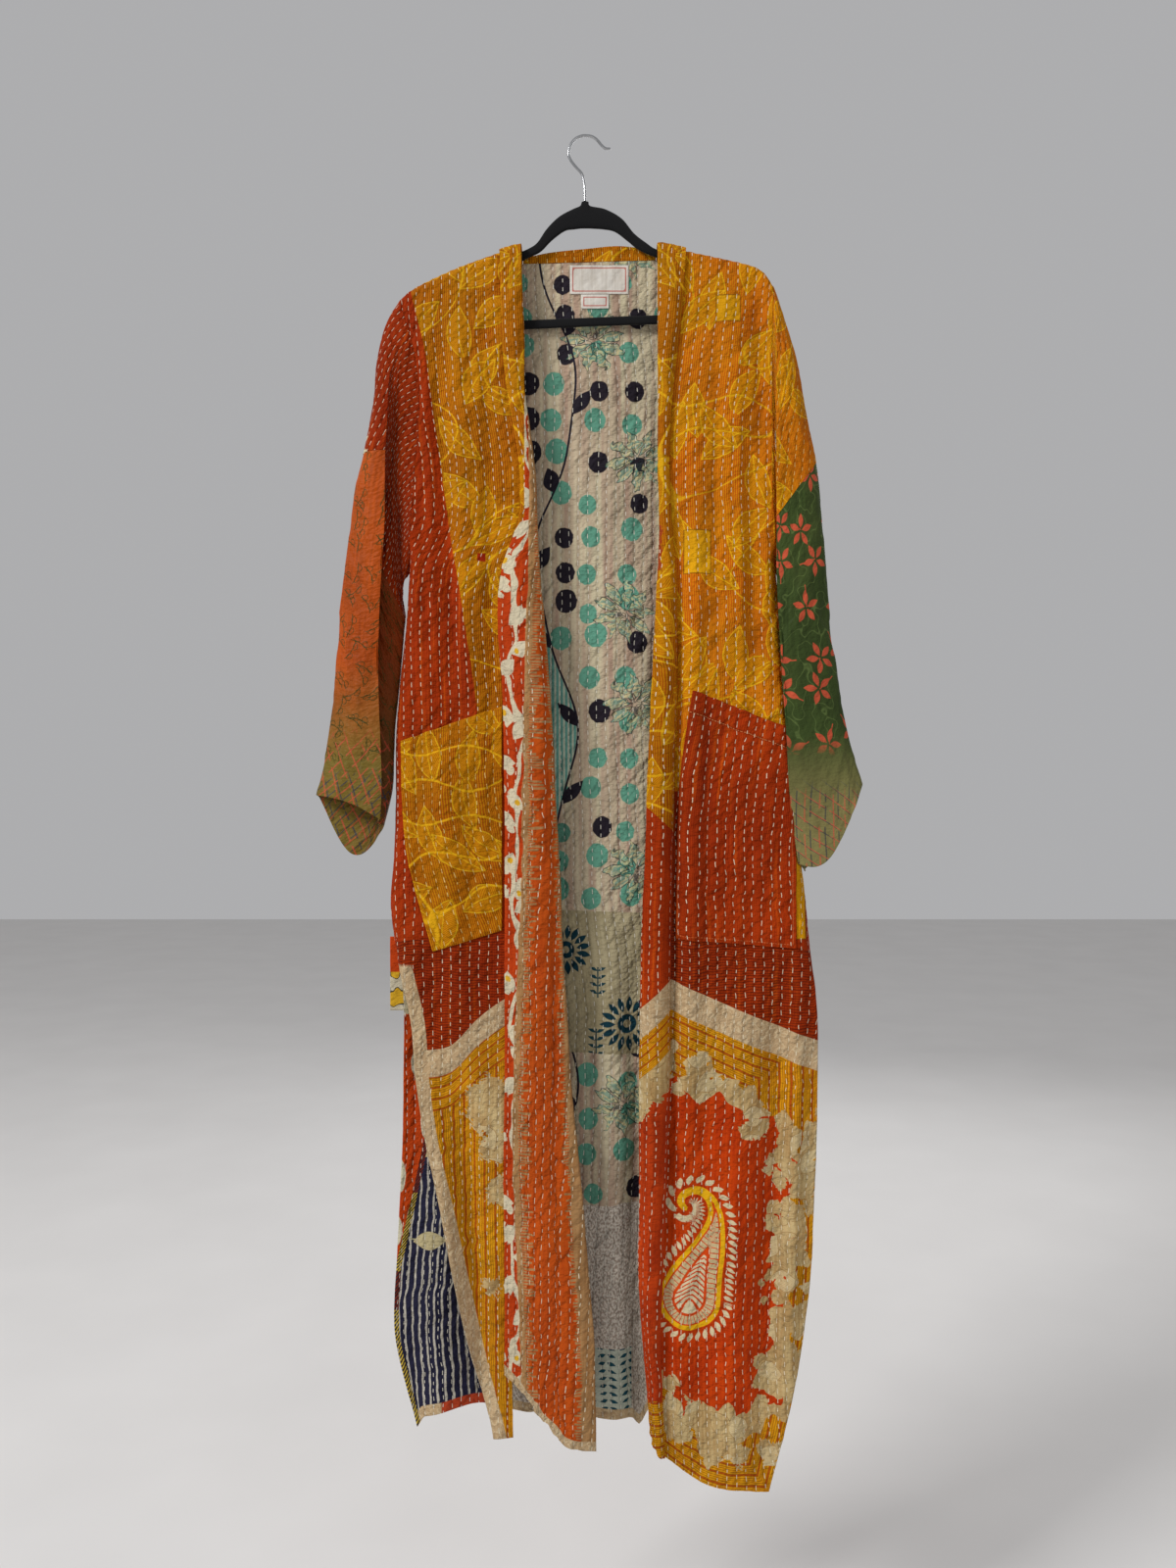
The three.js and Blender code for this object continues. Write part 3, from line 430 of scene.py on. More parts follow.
# Small creases seen on the cloth: middle, half length, half width, depth and turn in degrees.
FRONT_WRINKLES = (
    (196, -822, 40, 4.5, -1.8, -14),
    (206, -842, 34, 4.0, 1.6, -10),
    (176, -868, 46, 4.5, -1.6, -8),
    (148, -846, 30, 3.5, -1.2, 16),
    (214, -900, 26, 4.0, -1.4, -24),
    (160, -940, 50, 4.0, 1.3, -4),
    (224, -985, 34, 4.5, -1.6, -30),
    (122, -1010, 26, 4.0, -1.4, 22),
    (150, -560, 44, 5.0, -1.2, 62),
    (186, -470, 40, 5.0, 1.3, 74),
    (132, -640, 36, 4.5, -1.2, 58),
    (206, -330, 34, 4.5, -1.6, 70),
    (176, -260, 30, 4.0, -1.3, 52),
    (204, -590, 30, 4.5, -1.5, 66),
    (110, -1135, 30, 4.5, -2.0, 58),
    (186, -1120, 40, 4.5, -1.5, -12),
    (232, -1190, 30, 5.0, -1.8, 40),
    (150, -1190, 34, 4.5, 1.4, 20),
    (206, -1290, 36, 5.0, -1.6, 34),
    (126, -1400, 34, 4.5, -1.8, -22),
    (196, -1420, 30, 4.0, -1.8, -46),
    (226, -1390, 26, 4.0, -1.8, 48),
    (160, -1480, 34, 4.5, -1.8, -20),
    (110, -1470, 24, 4.0, -1.6, 30),
    (200, -1510, 26, 3.5, -1.6, -38),
    (-150, -745, 40, 4.5, -1.5, 10),
    (-128, -790, 38, 4.5, 1.3, -12),
    (-172, -820, 32, 4.5, -1.4, 36),
    (-140, -868, 40, 4.0, -1.6, 18),
    (-176, -905, 28, 4.0, -1.5, -34),
    (-150, -965, 40, 4.0, -1.6, 6),
    (-120, -990, 26, 3.6, -1.4, -14),
    (-186, -1000, 26, 4.0, -1.6, 40),
    (-132, -1045, 34, 4.0, -1.5, 32),
    (-150, -1105, 30, 4.5, -1.8, 14),
    (-110, -1150, 24, 4.5, -1.8, -40),
    (-140, -1185, 26, 4.0, 1.6, 24),
    (-118, -1230, 26, 4.5, -1.8, 28),
    (-126, -1290, 26, 4.5, -1.8, -32),
    (-106, -1345, 22, 4.0, -1.8, 36),
    (-114, -1420, 20, 4.0, -1.8, -24),
    (-100, -1490, 18, 3.6, -1.6, 20),
    (-190, -560, 24, 4.5, -1.8, 48),
    (-180, -610, 26, 4.5, 1.5, 56),
    (-196, -660, 24, 4.5, -1.6, 64),
    (-170, -420, 30, 4.5, -1.5, -66),
    (-186, -330, 26, 4.5, -1.6, -58),
    (-130, -380, 36, 5.0, 1.3, 72),
    (-120, -560, 40, 5.0, -1.3, 80),
    (-40, -760, 26, 4.0, -1.2, 50),
    (-48, -900, 26, 4.5, -1.4, -46),
    (-40, -1060, 28, 4.5, -1.4, 44),
    (-30, -1190, 28, 4.5, -1.4, -40),
    (-24, -1300, 28, 4.5, -1.5, 48),
    (-36, -1400, 26, 4.0, -1.5, -44),
)
BACK_WRINKLES = (
    (-120, -300, 44, 5.0, -1.3, 60),
    (130, -330, 40, 5.0, 1.3, -64),
    (-60, -450, 44, 5.0, -1.2, 74),
    (90, -520, 40, 5.0, -1.3, 70),
    (-160, -560, 34, 4.5, -1.5, 52),
    (180, -600, 34, 4.5, -1.5, -56),
    (10, -640, 44, 5.0, 1.2, 80),
    (-110, -720, 40, 4.5, -1.3, -18),
    (120, -760, 44, 4.5, -1.4, 16),
    (-30, -850, 44, 4.5, 1.3, 12),
    (170, -900, 34, 4.5, -1.5, -28),
    (-150, -940, 36, 4.5, -1.5, 30),
    (60, -1000, 44, 4.5, -1.4, -14),
    (-90, -1090, 40, 4.5, 1.4, 22),
    (150, -1120, 36, 4.5, -1.6, 34),
    (20, -1190, 40, 4.5, -1.5, -38),
    (-160, -1220, 34, 4.5, -1.6, 42),
    (100, -1290, 36, 4.5, -1.6, -30),
    (32, -1330, 24, 4.0, -1.8, 50),
    (-60, -1350, 36, 4.5, -1.6, 26),
    (180, -1380, 30, 4.0, -1.6, 44),
    (26, -1440, 26, 4.0, -1.8, -36),
    (-140, -1430, 30, 4.0, -1.6, -24),
    (90, -1470, 28, 3.8, -1.6, 30),
)


def drape(face: Face, x: Array, z: Array) -> Array:
    """Small soft folds of the hanging cloth, below the hanger.

    Long upright folds, slanting puckers between them and a fine ripple, each from random
    heights, faded out where the cloth lies on the hanger.

    Args:
        face: Front or back.
        x: Place across.
        z: Height.

    Returns:
        The depth at each place.
    """
    seed = 60 if face is Face.FRONT else 70
    slanted = x * 0.8 + z * 0.6
    upright = value_noise(x, z * 0.2, 34.0, seed) * 2.2
    puckers = value_noise(slanted, (z * 0.8 - x * 0.6) * 0.45, 19.0, seed + 1) * 0.9
    ripple = value_noise(x * 0.7, z, 8.0, seed + 2) * 0.45
    return (upright + puckers + ripple) * smooth((-215.0 - z) / 90.0) + ripple * 0.6


def body_point(face: Face, x: Array, z: Array, over_ridge: bool = True) -> Array:
    """Point of the front or the back of the robe.

    Args:
        face: Front or back.
        x: Place across.
        z: Height.
        over_ridge: Whether the cloth rounds over the shoulder line in the neck too.

    Returns:
        Points whose last axis is x, y and z. The depth is the hang plus the folds, rounded to
        the hanger's plane at the shoulder line and at a closed side seam.
    """
    x, z = np.broadcast_arrays(np.asarray(x, float), np.asarray(z, float))
    side = np.where(x < 0, side_edge(face, Hand.LEFT, z), side_edge(face, Hand.RIGHT, z))
    opened = openness(z)
    side_share = opened + (1 - opened) * round_off(np.abs(side - x) / SIDE_ROUND)
    wrap = round_off((ridge(x) - z) / SHOULDER_ROUND)
    neck = neck_share(x) if face is Face.BACK and not over_ridge else np.zeros_like(x)
    front = face is Face.FRONT
    depth = DEPTHS.at("z", "front" if front else "back", z)
    depth = depth + fold_depth(FRONT_FOLDS if front else BACK_FOLDS, x, z)
    depth = depth + fold_depth(FRONT_LINES if front else BACK_LINES, x, z)
    depth = depth + crease_depth(FRONT_CREASES if front else BACK_CREASES, x, z)
    depth = depth + crease_depth(FRONT_WRINKLES if front else BACK_WRINKLES, x, z) + drape(face, x, z)
    y = face.value * (SEAM / 2 + depth * side_share * lerp(wrap, 1, neck))
    return np.stack([x, y, z], axis=-1)


@dataclass
class Surface:
    """A grid of points of a sheet of cloth, in rows down and columns across."""

    points: Array
    ring: bool = False

    def normals(self, facing: float) -> Array:
        """Unit normals on the side given by the sign of facing.

        Args:
            facing: 1 or -1, the side that they point to.

        Returns:
            A normal for each point.
        """
        points = self.points
        if self.ring:
            across = np.roll(points, -1, axis=1) - np.roll(points, 1, axis=1)
        else:
            across = np.empty_like(points)
            across[:, 1:-1] = points[:, 2:] - points[:, :-2]
            across[:, 0], across[:, -1] = points[:, 1] - points[:, 0], points[:, -1] - points[:, -2]
        down = np.empty_like(points)
        down[1:-1] = points[2:] - points[:-2]
        down[0], down[-1] = points[1] - points[0], points[-1] - points[-2]
        normal = np.cross(across, down) * facing
        return normal / np.maximum(np.linalg.norm(normal, axis=-1, keepdims=True), 1e-9)

    def facing(self, face: Face) -> float:
        """Sign that turns the grid's normals to the front or to the back.

        Args:
            face: Front or back.

        Returns:
            1 or -1.
        """
        row, column = self.points.shape[0] // 2, self.points.shape[1] // 2
        across = self.points[row, column + 1] - self.points[row, column - 1]
        down = self.points[row + 1, column] - self.points[row - 1, column]
        return float(np.sign(np.cross(across, down)[1]) * face.value)

    def lengths(self, origin: int) -> tuple[Array, Array]:
        """Cloth lengths in millimetres.

        Args:
            origin: The column from which lengths across are counted.

        Returns:
            Length across and length down at each point, with one more column on a ring.
        """
        points = self.points
        if self.ring:
            points = np.concatenate([points, points[:, :1]], axis=1)
        steps = np.linalg.norm(np.diff(points, axis=1), axis=-1)
        across = np.concatenate([np.zeros((len(points), 1)), np.cumsum(steps, axis=1)], axis=1)
        drops = np.linalg.norm(np.diff(points, axis=0), axis=-1)
        down = np.concatenate([np.zeros((1, points.shape[1])), np.cumsum(drops, axis=0)])
        return across - across[:, origin : origin + 1], down - points[:1, :, 2]


def wall_faces(rows: int, columns: int, ring: bool) -> tuple[Array, Array]:
    """Faces of a closed wall with an outer and an inner grid.

    Args:
        rows: Rows of each grid.
        columns: Columns of each grid.
        ring: Whether the last column joins the first.

    Returns:
        For each four-sided face its corners as layer, row and column, and which face is inner.
    """

    def patch(*corners: tuple) -> Array:
        """Faces from four corners, each given as layer, row and column."""
        return np.stack([np.stack(np.broadcast_arrays(*c), axis=-1) for c in corners], axis=1)

    cells = columns if ring else columns - 1
    r, c = (a.ravel() for a in np.meshgrid(np.arange(rows - 1), np.arange(cells), indexing="ij"))
    outer = patch((0, r, c), (0, r + 1, c), (0, r + 1, c + 1), (0, r, c + 1))
    inner = patch((1, r, c), (1, r, c + 1), (1, r + 1, c + 1), (1, r + 1, c))
    t, end = np.arange(cells), rows - 1
    rims = [
        patch((0, 0, t), (0, 0, t + 1), (1, 0, t + 1), (1, 0, t)),
        patch((0, end, t + 1), (0, end, t), (1, end, t), (1, end, t + 1)),
    ]
    if not ring:
        s, last = np.arange(rows - 1), columns - 1
        rims.append(patch((0, s + 1, 0), (0, s, 0), (1, s, 0), (1, s + 1, 0)))
        rims.append(patch((0, s, last), (0, s + 1, last), (1, s + 1, last), (1, s, last)))
    faces = np.concatenate([outer, inner, *rims])
    is_inner = np.zeros(len(faces), int)
    is_inner[len(outer) : len(outer) + len(inner)] = 1
    return faces, is_inner


def add_object(name: str, points: Array, faces: list, materials: Cloths) -> Piece:
    """A mesh object from points in millimetres, smooth but for its sharp edges.

    Args:
        name: Name of the piece.
        points: Corners.
        faces: Corner numbers of each face.
        materials: Its materials, by number.

    Returns:
        The object.
    """
    mesh = bpy.data.meshes.new(name)
    mesh.from_pydata((points * MM).tolist(), [], faces)
    for material in materials:
        mesh.materials.append(material)
    mesh.shade_smooth()
    mesh.set_sharp_from_angle(angle=math.radians(SHARP_ANGLE))
    made = bpy.data.objects.new(name, mesh)
    bpy.context.scene.collection.objects.link(made)
    return made


def cloth_wall(
    name: str,
    surface: Surface,
    normals: Array,
    offsets: tuple[Array, Array],
    lengths: tuple[Array, Array],
    materials: Cloths,
    fields: Optional[dict[str, Array]] = None,
) -> Piece:
    """A closed wall of cloth round a surface.

    Args:
        name: Name of the piece.
        surface: The grid it follows.
        normals: Outward normals of the grid.
        offsets: How far the inner and the outer side lie along the normals.
        lengths: Cloth lengths across and down, for the cloth map.
        materials: Outer and inner material.
        fields: Numbers or vectors kept at each point for the prints.

    Returns:
        The object, with its faces outwards.
    """
    rows, columns = surface.points.shape[:2]
    heights = [np.broadcast_to(offset, (rows, columns))[..., None] for offset in offsets[::-1]]
    points = np.concatenate([(surface.points + normals * height).reshape(-1, 3) for height in heights])
    corners, inner = wall_faces(rows, columns, surface.ring)
    layer, row, column = corners[..., 0], corners[..., 1], corners[..., 2]
    index = layer * rows * columns + row * columns + column % columns
    a, b, c, d = (points[index[:, k]] for k in range(4))
    volume = np.einsum("ij,ij->", a, np.cross(b, c)) + np.einsum("ij,ij->", a, np.cross(c, d))
    across, down = lengths
    maps = np.stack([across[row, column], down[row, column]], axis=-1) * MM
    if volume < 0:
        index, maps = index[:, ::-1], maps[:, ::-1]
    made = add_object(name, points, index.tolist(), materials)
    mesh = made.data
    mesh.uv_layers.new(name="cloth").data.foreach_set("uv", np.ascontiguousarray(maps).ravel())
    mesh.polygons.foreach_set("material_index", inner)
    for key, values in (fields or {}).items():
        kind, slot = ("FLOAT", "value") if values.ndim == 2 else ("FLOAT_VECTOR", "vector")
        doubled = np.concatenate([values, values]).astype(np.float32)
        mesh.attributes.new(key, kind, "POINT").data.foreach_set(slot, doubled.ravel())
    mesh.update()
    return made


Number = Union["Field", float]


def calculate(tree: NodeTree, operation: str, *values: Number) -> "Field":
    """A Math node on the given values.

    Args:
        tree: Node tree of the material.
        operation: The node's operation.
        values: Numbers or fields, by input.

    Returns:
        The node's result.
    """
    node = tree.nodes.new("ShaderNodeMath")
    node.operation = operation
    for socket, value in zip(node.inputs, values):
        feed(tree, socket, value)
    return Field(tree, node.outputs[0])


def feed(tree: NodeTree, socket: NodeSocket, value: object) -> None:
    """Link a field to a socket, or set the socket's own value.

    Args:
        tree: Node tree of the material.
        socket: Input of a node.
        value: Field, number, colour or vector.
    """
    if isinstance(value, Field):
        tree.links.new(value.out, socket)
    else:
        socket.default_value = value


class Field:
    """A number, vector or colour at each point of a surface, in a material's node tree."""

    def __init__(self, tree: NodeTree, out: NodeSocket) -> None:
        """Wrap an output socket."""
        self.tree, self.out = tree, out

    def __add__(self, other: Number) -> "Field":
        """Sum."""
        return calculate(self.tree, "ADD", self, other)

    def __radd__(self, other: Number) -> "Field":
        """Sum, with the number first."""
        return calculate(self.tree, "ADD", other, self)

    def __sub__(self, other: Number) -> "Field":
        """Difference."""
        return calculate(self.tree, "SUBTRACT", self, other)

    def __rsub__(self, other: Number) -> "Field":
        """Difference, with the number first."""
        return calculate(self.tree, "SUBTRACT", other, self)

    def __mul__(self, other: Number) -> "Field":
        """Product."""
        return calculate(self.tree, "MULTIPLY", self, other)

    def __rmul__(self, other: Number) -> "Field":
        """Product, with the number first."""
        return calculate(self.tree, "MULTIPLY", other, self)

    def __truediv__(self, other: Number) -> "Field":
        """Quotient."""
        return calculate(self.tree, "DIVIDE", self, other)

    def __rtruediv__(self, other: Number) -> "Field":
        """Quotient, with the number first."""
        return calculate(self.tree, "DIVIDE", other, self)

    def __neg__(self) -> "Field":
        """Opposite number."""
        return calculate(self.tree, "MULTIPLY", self, -1.0)

    def __abs__(self) -> "Field":
        """Size without its sign."""
        return calculate(self.tree, "ABSOLUTE", self)

    def apply(self, operation: str, *others: Number) -> "Field":
        """Any other Math operation."""
        return calculate(self.tree, operation, self, *others)

    def least(self, other: Number) -> "Field":
        """The smaller of the two."""
        return self.apply("MINIMUM", other)

    def most(self, other: Number) -> "Field":
        """The greater of the two."""
        return self.apply("MAXIMUM", other)

    def within(self, soft: float = 0.5) -> "Field":
        """Mask that is 1 where the field is above 0, blended over a soft width.

        Args:
            soft: Width of the blend.

        Returns:
            A mask from 0 to 1.
        """
        node = self.tree.nodes.new("ShaderNodeClamp")
        feed(self.tree, node.inputs["Value"], self / soft + 0.5)
        return Field(self.tree, node.outputs[0])

    def bell(self, width: float) -> "Field":
        """Bell curve: the base of natural logarithms to minus the square of field over width."""
        share = self / width
        return (share * share * -1.0).apply("EXPONENT")

    def repeat(self, pitch: float) -> tuple["Field", "Field"]:
        """Number of the repeat, and place in it from its middle, from -0.5 to 0.5 of the pitch.

        Args:
            pitch: Length of one repeat.

        Returns:
            The number, and the place.
        """
        share = self / pitch
        index = share.apply("FLOOR")
        return index, (share - index - 0.5) * pitch


def linear(colour: Sequence[float]) -> tuple[float, float, float, float]:
    """A screen colour from 0 to 255 as linear light with full cover.

    Args:
        colour: Red, green and blue from 0 to 255.

    Returns:
        Red, green, blue and cover.
    """
    shares = [c / 255 for c in colour]
    light = [s / 12.92 if s <= 0.04045 else ((s + 0.055) / 1.055) ** 2.4 for s in shares]
    return light[0], light[1], light[2], 1.0


def scaled(colour: Colour, share: float) -> Colour:
    """A screen colour made lighter or darker."""
    return colour[0] * share, colour[1] * share, colour[2] * share


class Loom:
    """Builds the node tree of one material."""

    def __init__(self, name: str) -> None:
        """Start an empty cloth material.

        Args:
            name: Name of the material.
        """
        self.material = bpy.data.materials.new(name)
        self.material.use_nodes = True
        self.tree = self.material.node_tree
        self.shader = self.tree.nodes["Principled BSDF"]

    def node(self, kind: str, settings: Optional[dict] = None, inputs: Optional[dict] = None) -> Node:
        """Add a node.

        Args:
            kind: Type of the node.
            settings: Its properties by name.
            inputs: Values or fields by the name or number of the input.

        Returns:
            The node.
        """
        node = self.tree.nodes.new(kind)
        for key, value in (settings or {}).items():
            setattr(node, key, value)
        for key, value in (inputs or {}).items():
            feed(self.tree, node.inputs[key], value)
        return node

    def parts(self, socket: NodeSocket, scale: float = 1.0) -> list[Field]:
        """The three numbers of a vector socket, times a scale.

        Args:
            socket: Output that holds a vector.
            scale: Factor for each number.

        Returns:
            The three numbers.
        """
        split = self.node("ShaderNodeSeparateXYZ", inputs={0: Field(self.tree, socket)})
        fields = [Field(self.tree, out) for out in split.outputs]
        return [field * scale for field in fields] if scale != 1 else fields

    def cloth_map(self) -> tuple[Field, Field]:
        """Cloth lengths across and down, in millimetres.

        Returns:
            Lengths across and down.
        """
        source = self.node("ShaderNodeUVMap", {"uv_map": "cloth"})
        across, down, _ = self.parts(source.outputs[0], 1 / MM)
        return across, down

    def place(self) -> tuple[Field, Field, Field]:
        """Place on the robe as x, y and z, in millimetres.

        Returns:
            The three coordinates.
        """
        source = self.node("ShaderNodeTexCoord")
        x, y, z = self.parts(source.outputs["Object"], 1 / MM)
        return x, y, z

    def read(self, name: str) -> Field:
        """A number kept at the points of the mesh."""
        return Field(self.tree, self.node("ShaderNodeAttribute", {"attribute_name": name}).outputs["Fac"])

    def read_parts(self, name: str) -> list[Field]:
        """The three numbers of a vector kept at the points of the mesh."""
        return self.parts(self.node("ShaderNodeAttribute", {"attribute_name": name}).outputs["Vector"])

    def vector(self, x: Number, y: Number) -> Field:
        """A flat vector of two numbers."""
        return Field(self.tree, self.node("ShaderNodeCombineXYZ", inputs={0: x, 1: y}).outputs[0])

    def noise(self, u: Number, v: Number, width: float, height: float, detail: float = 2.0) -> Field:
        """Soft noise from 0 to 1 with bumps of a given width and height.

        Args:
            u: Length across.
            v: Length down.
            width: Width of a bump.
            height: Height of a bump.
            detail: Octaves of finer bumps.

        Returns:
            The noise.
        """
        where = self.vector(u / width, v / height)
        settings = {"noise_dimensions": "2D"}
        node = self.node("ShaderNodeTexNoise", settings, {"Vector": where, "Scale": 1.0, "Detail": detail})
        return Field(self.tree, node.outputs[0])

    def chance(self, index: Field, other: Number = 0.0) -> Field:
        """A random number from 0 to 1 for each whole number.

        Args:
            index: Whole numbers.
            other: A second whole number, where two count.

        Returns:
            The random number.
        """
        where = {"Vector": self.vector(index, other)}
        node = self.node("ShaderNodeTexWhiteNoise", {"noise_dimensions": "2D"}, where)
        return Field(self.tree, node.outputs["Value"])

    def scatter(self, u: Number, v: Number, pitch: float, jitter: float) -> tuple[Field, Field, list[Field]]:
        """Places strewn on a loose lattice.

        Args:
            u: Length across.
            v: Length down.
            pitch: Mean distance between two places.
            jitter: How far places leave the lattice, from 0 to 1.

        Returns:
            Lengths across and down from the nearest place, and three random numbers of it.
        """
        where = self.vector(u / pitch, v / pitch)
        settings = {"voronoi_dimensions": "2D"}
        inputs = {"Vector": where, "Scale": 1.0, "Randomness": jitter}
        cells = self.node("ShaderNodeTexVoronoi", settings, inputs)
        here = self.parts(where.out)
        there = self.parts(cells.outputs["Position"])
        luck = self.parts(cells.outputs["Color"])
        return (here[0] - there[0]) * pitch, (here[1] - there[1]) * pitch, luck

    def turn(self, x: Field, y: Field, angle: Number) -> tuple[Field, Field]:
        """Coordinates turned by an angle in radians.

        Args:
            x: First coordinate.
            y: Second coordinate.
            angle: Turn in radians.

        Returns:
            The turned coordinates.
        """
        if isinstance(angle, Field):
            cosine, sine = angle.apply("COSINE"), angle.apply("SINE")
        else:
            cosine, sine = math.cos(angle), math.sin(angle)
        return x * cosine + y * sine, y * cosine - x * sine

    def mix(self, share: Number, under: object, over: object) -> Field:
        """Blend of two colours, given as fields or as screen colours.

        Args:
            share: Share of the second colour, from 0 to 1.
            under: First colour.
            over: Second colour.

        Returns:
            The blend.
        """
        node = self.node("ShaderNodeMix", {"data_type": "RGBA"}, {0: share})
        for socket, colour in zip((node.inputs[6], node.inputs[7]), (under, over)):
            feed(self.tree, socket, colour if isinstance(colour, Field) else linear(colour))
        return Field(self.tree, node.outputs[2])

    def shade(self, colour: Field, factor: Field) -> Field:
        """A colour made lighter or darker by a factor."""
        node = self.node("ShaderNodeVectorMath", {"operation": "SCALE"}, {0: colour, "Scale": factor})
        return Field(self.tree, node.outputs[0])


def lens(x: Field, y: Field, length: float, width: float) -> Field:
    """Inside of a leaf from the origin along x: the sine of the way times its half width, less y.

    Past the leaf's ends the distance along x is taken off too.
    """
    share = (x / length).least(1.0).most(0.0)
    return (share * math.pi).apply("SINE") * width - abs(y) - abs(x - share * length)


def length_of(x: Field, y: Field) -> Field:
    """Distance from the origin."""
    return (x * x + y * y).apply("SQRT")


def petals(x: Field, y: Field, count: int, inner: float, outer: float, width: float) -> Field:
    """Inside of a ring of petals: one leaf in each of count equal sectors, from inner to outer.

    Args:
        x: Length across from the flower's middle.
        y: Length down from the flower's middle.
        count: Number of petals.
        inner: Distance of their inner ends.
        outer: Distance of their tips.
        width: Half width of a petal.

    Returns:
        A field above 0 inside the petals.
    """
    _, sector = y.apply("ARCTAN2", x).repeat(2 * math.pi / count)
    reach = length_of(x, y)
    along, aside = reach * sector.apply("COSINE"), reach * sector.apply("SINE")
    return lens(along - inner, aside, outer - inner, width)


@dataclass(frozen=True)
class Prints:
    """The printed and woven patterns, as colours of a material."""

    loom: Loom
    u: Field
    v: Field

    def plain(self, colour: Colour, other: Colour, size: float = 60.0) -> Field:
        """Two near colours in soft patches and fine streaks down the cloth.

        Args:
            colour: First colour.
            other: Second colour.
            size: Size of a patch.

        Returns:
            The colour.
        """
        patches = self.loom.noise(self.u, self.v, size, size * 1.8, 3.0)
        streaks = self.loom.noise(self.u, self.v, 3.0, 70.0, 2.0)
        return self.loom.mix(((patches + streaks) * 0.5 - 0.5) * 4.0 + 0.5, colour, other)

    def mustard(
        self,
        ground: Colour = (184, 120, 5),
        hatch: Colour = (146, 64, 4),
        leaf_tone: float = 0.94,
    ) -> Field:
        """Mustard printed with fine upright lines, large hatched leaves and thin bright stems.

        Args:
            ground: Colour of the cloth.
            hatch: Colour of the upright lines.
            leaf_tone: Lightness of the leaves.

        Returns:
            The colour.
        """
        loom, u, v = self.loom, self.u, self.v
        wave = (loom.noise(u, v, 30.0, 60.0, 1.0) - 0.5) * 3.0
        _, line = (u + wave).repeat(2.5)
        strength = loom.noise(u, v, 40.0, 70.0, 2.0) * 1.6 - 0.35
        lines = (abs(line) - 0.85 + strength * 0.6).within(0.7)
        colour = loom.mix(lines * 0.92, self.plain(ground, tuple(c * 0.92 for c in ground)), hatch)
        for pitch, shift in ((88.0, 0.0), (70.0, 300.0)):
            x, y, luck = loom.scatter(u + shift, v, pitch, 0.9)
            x, y = loom.turn(x, y, luck[0] * 2.4 + 0.4)
            y = y + (x * x) * 0.004
            leaf = lens(x + 34.0, y, 68.0, 15.0)
            _, stripe = (x * 0.85 + abs(y) * 1.1).repeat(2.3)
            bright, dark = scaled((206, 148, 8), leaf_tone), scaled((178, 98, 5), leaf_tone)
            inside = loom.mix((abs(stripe) - 0.5).within(0.6), bright, dark)
            colour = loom.mix(leaf.within(1.2) * 0.88, colour, inside)
            rib = (0.6 - abs(y)).within(0.6) * leaf.within(1.0)
            drawn = (0.7 - abs(leaf)).within(0.6).most(rib)
            colour = loom.mix(drawn * 0.8, colour, scaled((222, 172, 26), leaf_tone))
        bend = loom.noise(u, v, 110.0, 80.0, 0.0)
        stem = (0.009 - abs(bend - 0.5)).within(0.008)
        return loom.mix(stem * 0.7, colour, (220, 168, 22))

    def orange_red(self) -> Field:
        """Deep orange-red cotton with paler and darker threads down it.

        Returns:
            The colour.
        """
        loom = self.loom
        colour = self.plain((155, 45, 4), (132, 32, 3))
        glow = (loom.noise(self.u, self.v, 5.0, 160.0, 1.0) - 0.6) * 4.0
        colour = loom.mix(glow.most(0.0), colour, (186, 72, 8))
        _, thread = self.u.repeat(1.9)
        return loom.mix((0.35 - abs(thread)).within(0.5) * 0.25, colour, (198, 84, 24))

    def cross_woven(self, colour: Field) -> Field:
        """A colour with fine dark lines across the cloth.

        Args:
            colour: Colour below.

        Returns:
            The colour.
        """
        loom = self.loom
        wander = (loom.noise(self.u, self.v, 40.0, 9.0, 1.0) - 0.5) * 3.0
        _, line = (self.v + wander).repeat(3.2)
        return loom.mix((0.5 - abs(line)).within(0.5) * 0.8, loom.shade(colour, 0.84), (84, 18, 4))

    def cream_band(self) -> Field:
        """Cream border with faint paler scrolls.

        Returns:
            The colour.
        """
        loom = self.loom
        colour = self.plain((186, 160, 124), (170, 142, 106), 30.0)
        scroll = (0.035 - abs(loom.noise(self.u, self.v, 9.0, 9.0, 1.0) - 0.5)).within(0.03)
        return loom.mix(scroll * 0.45, colour, (210, 192, 156))

    def gold(self, across: Field) -> Field:
        """Gold with fine brown lines; every fifth line is red-brown and stronger.

        Args:
            across: Distance across the lines.

        Returns:
            The colour.
        """
        loom = self.loom
        wander = (loom.noise(self.u, self.v, 24.0, 24.0, 1.0) - 0.5) * 2.0
        colour = self.plain((206, 144, 18), (190, 122, 12), 40.0)
        _, fine = (across + wander).repeat(2.5)
        _, strong = (across + wander).repeat(12.5)
        colour = loom.mix((abs(fine) - 0.78).within(0.5) * 0.7, colour, (120, 74, 10))
        return loom.mix((0.9 - abs(strong)).within(0.6) * 0.9, colour, (156, 56, 10))

    def serration(self) -> Field:
        """Saw-toothed edge of a printed leaf, about 4 mm deep, over slow lobes.

        Returns:
            The shift of the edge.
        """
        loom = self.loom
        bend = loom.noise(self.u, self.v, 30.0, 30.0, 1.0) * 40.0
        _, saw = (self.u * 0.75 + self.v * 0.5 + bend).repeat(5.4)
        _, other = (self.u * 0.5 - self.v * 0.8 + bend).repeat(6.6)
        return (abs(saw) + abs(other) - 3.0) * 1.7

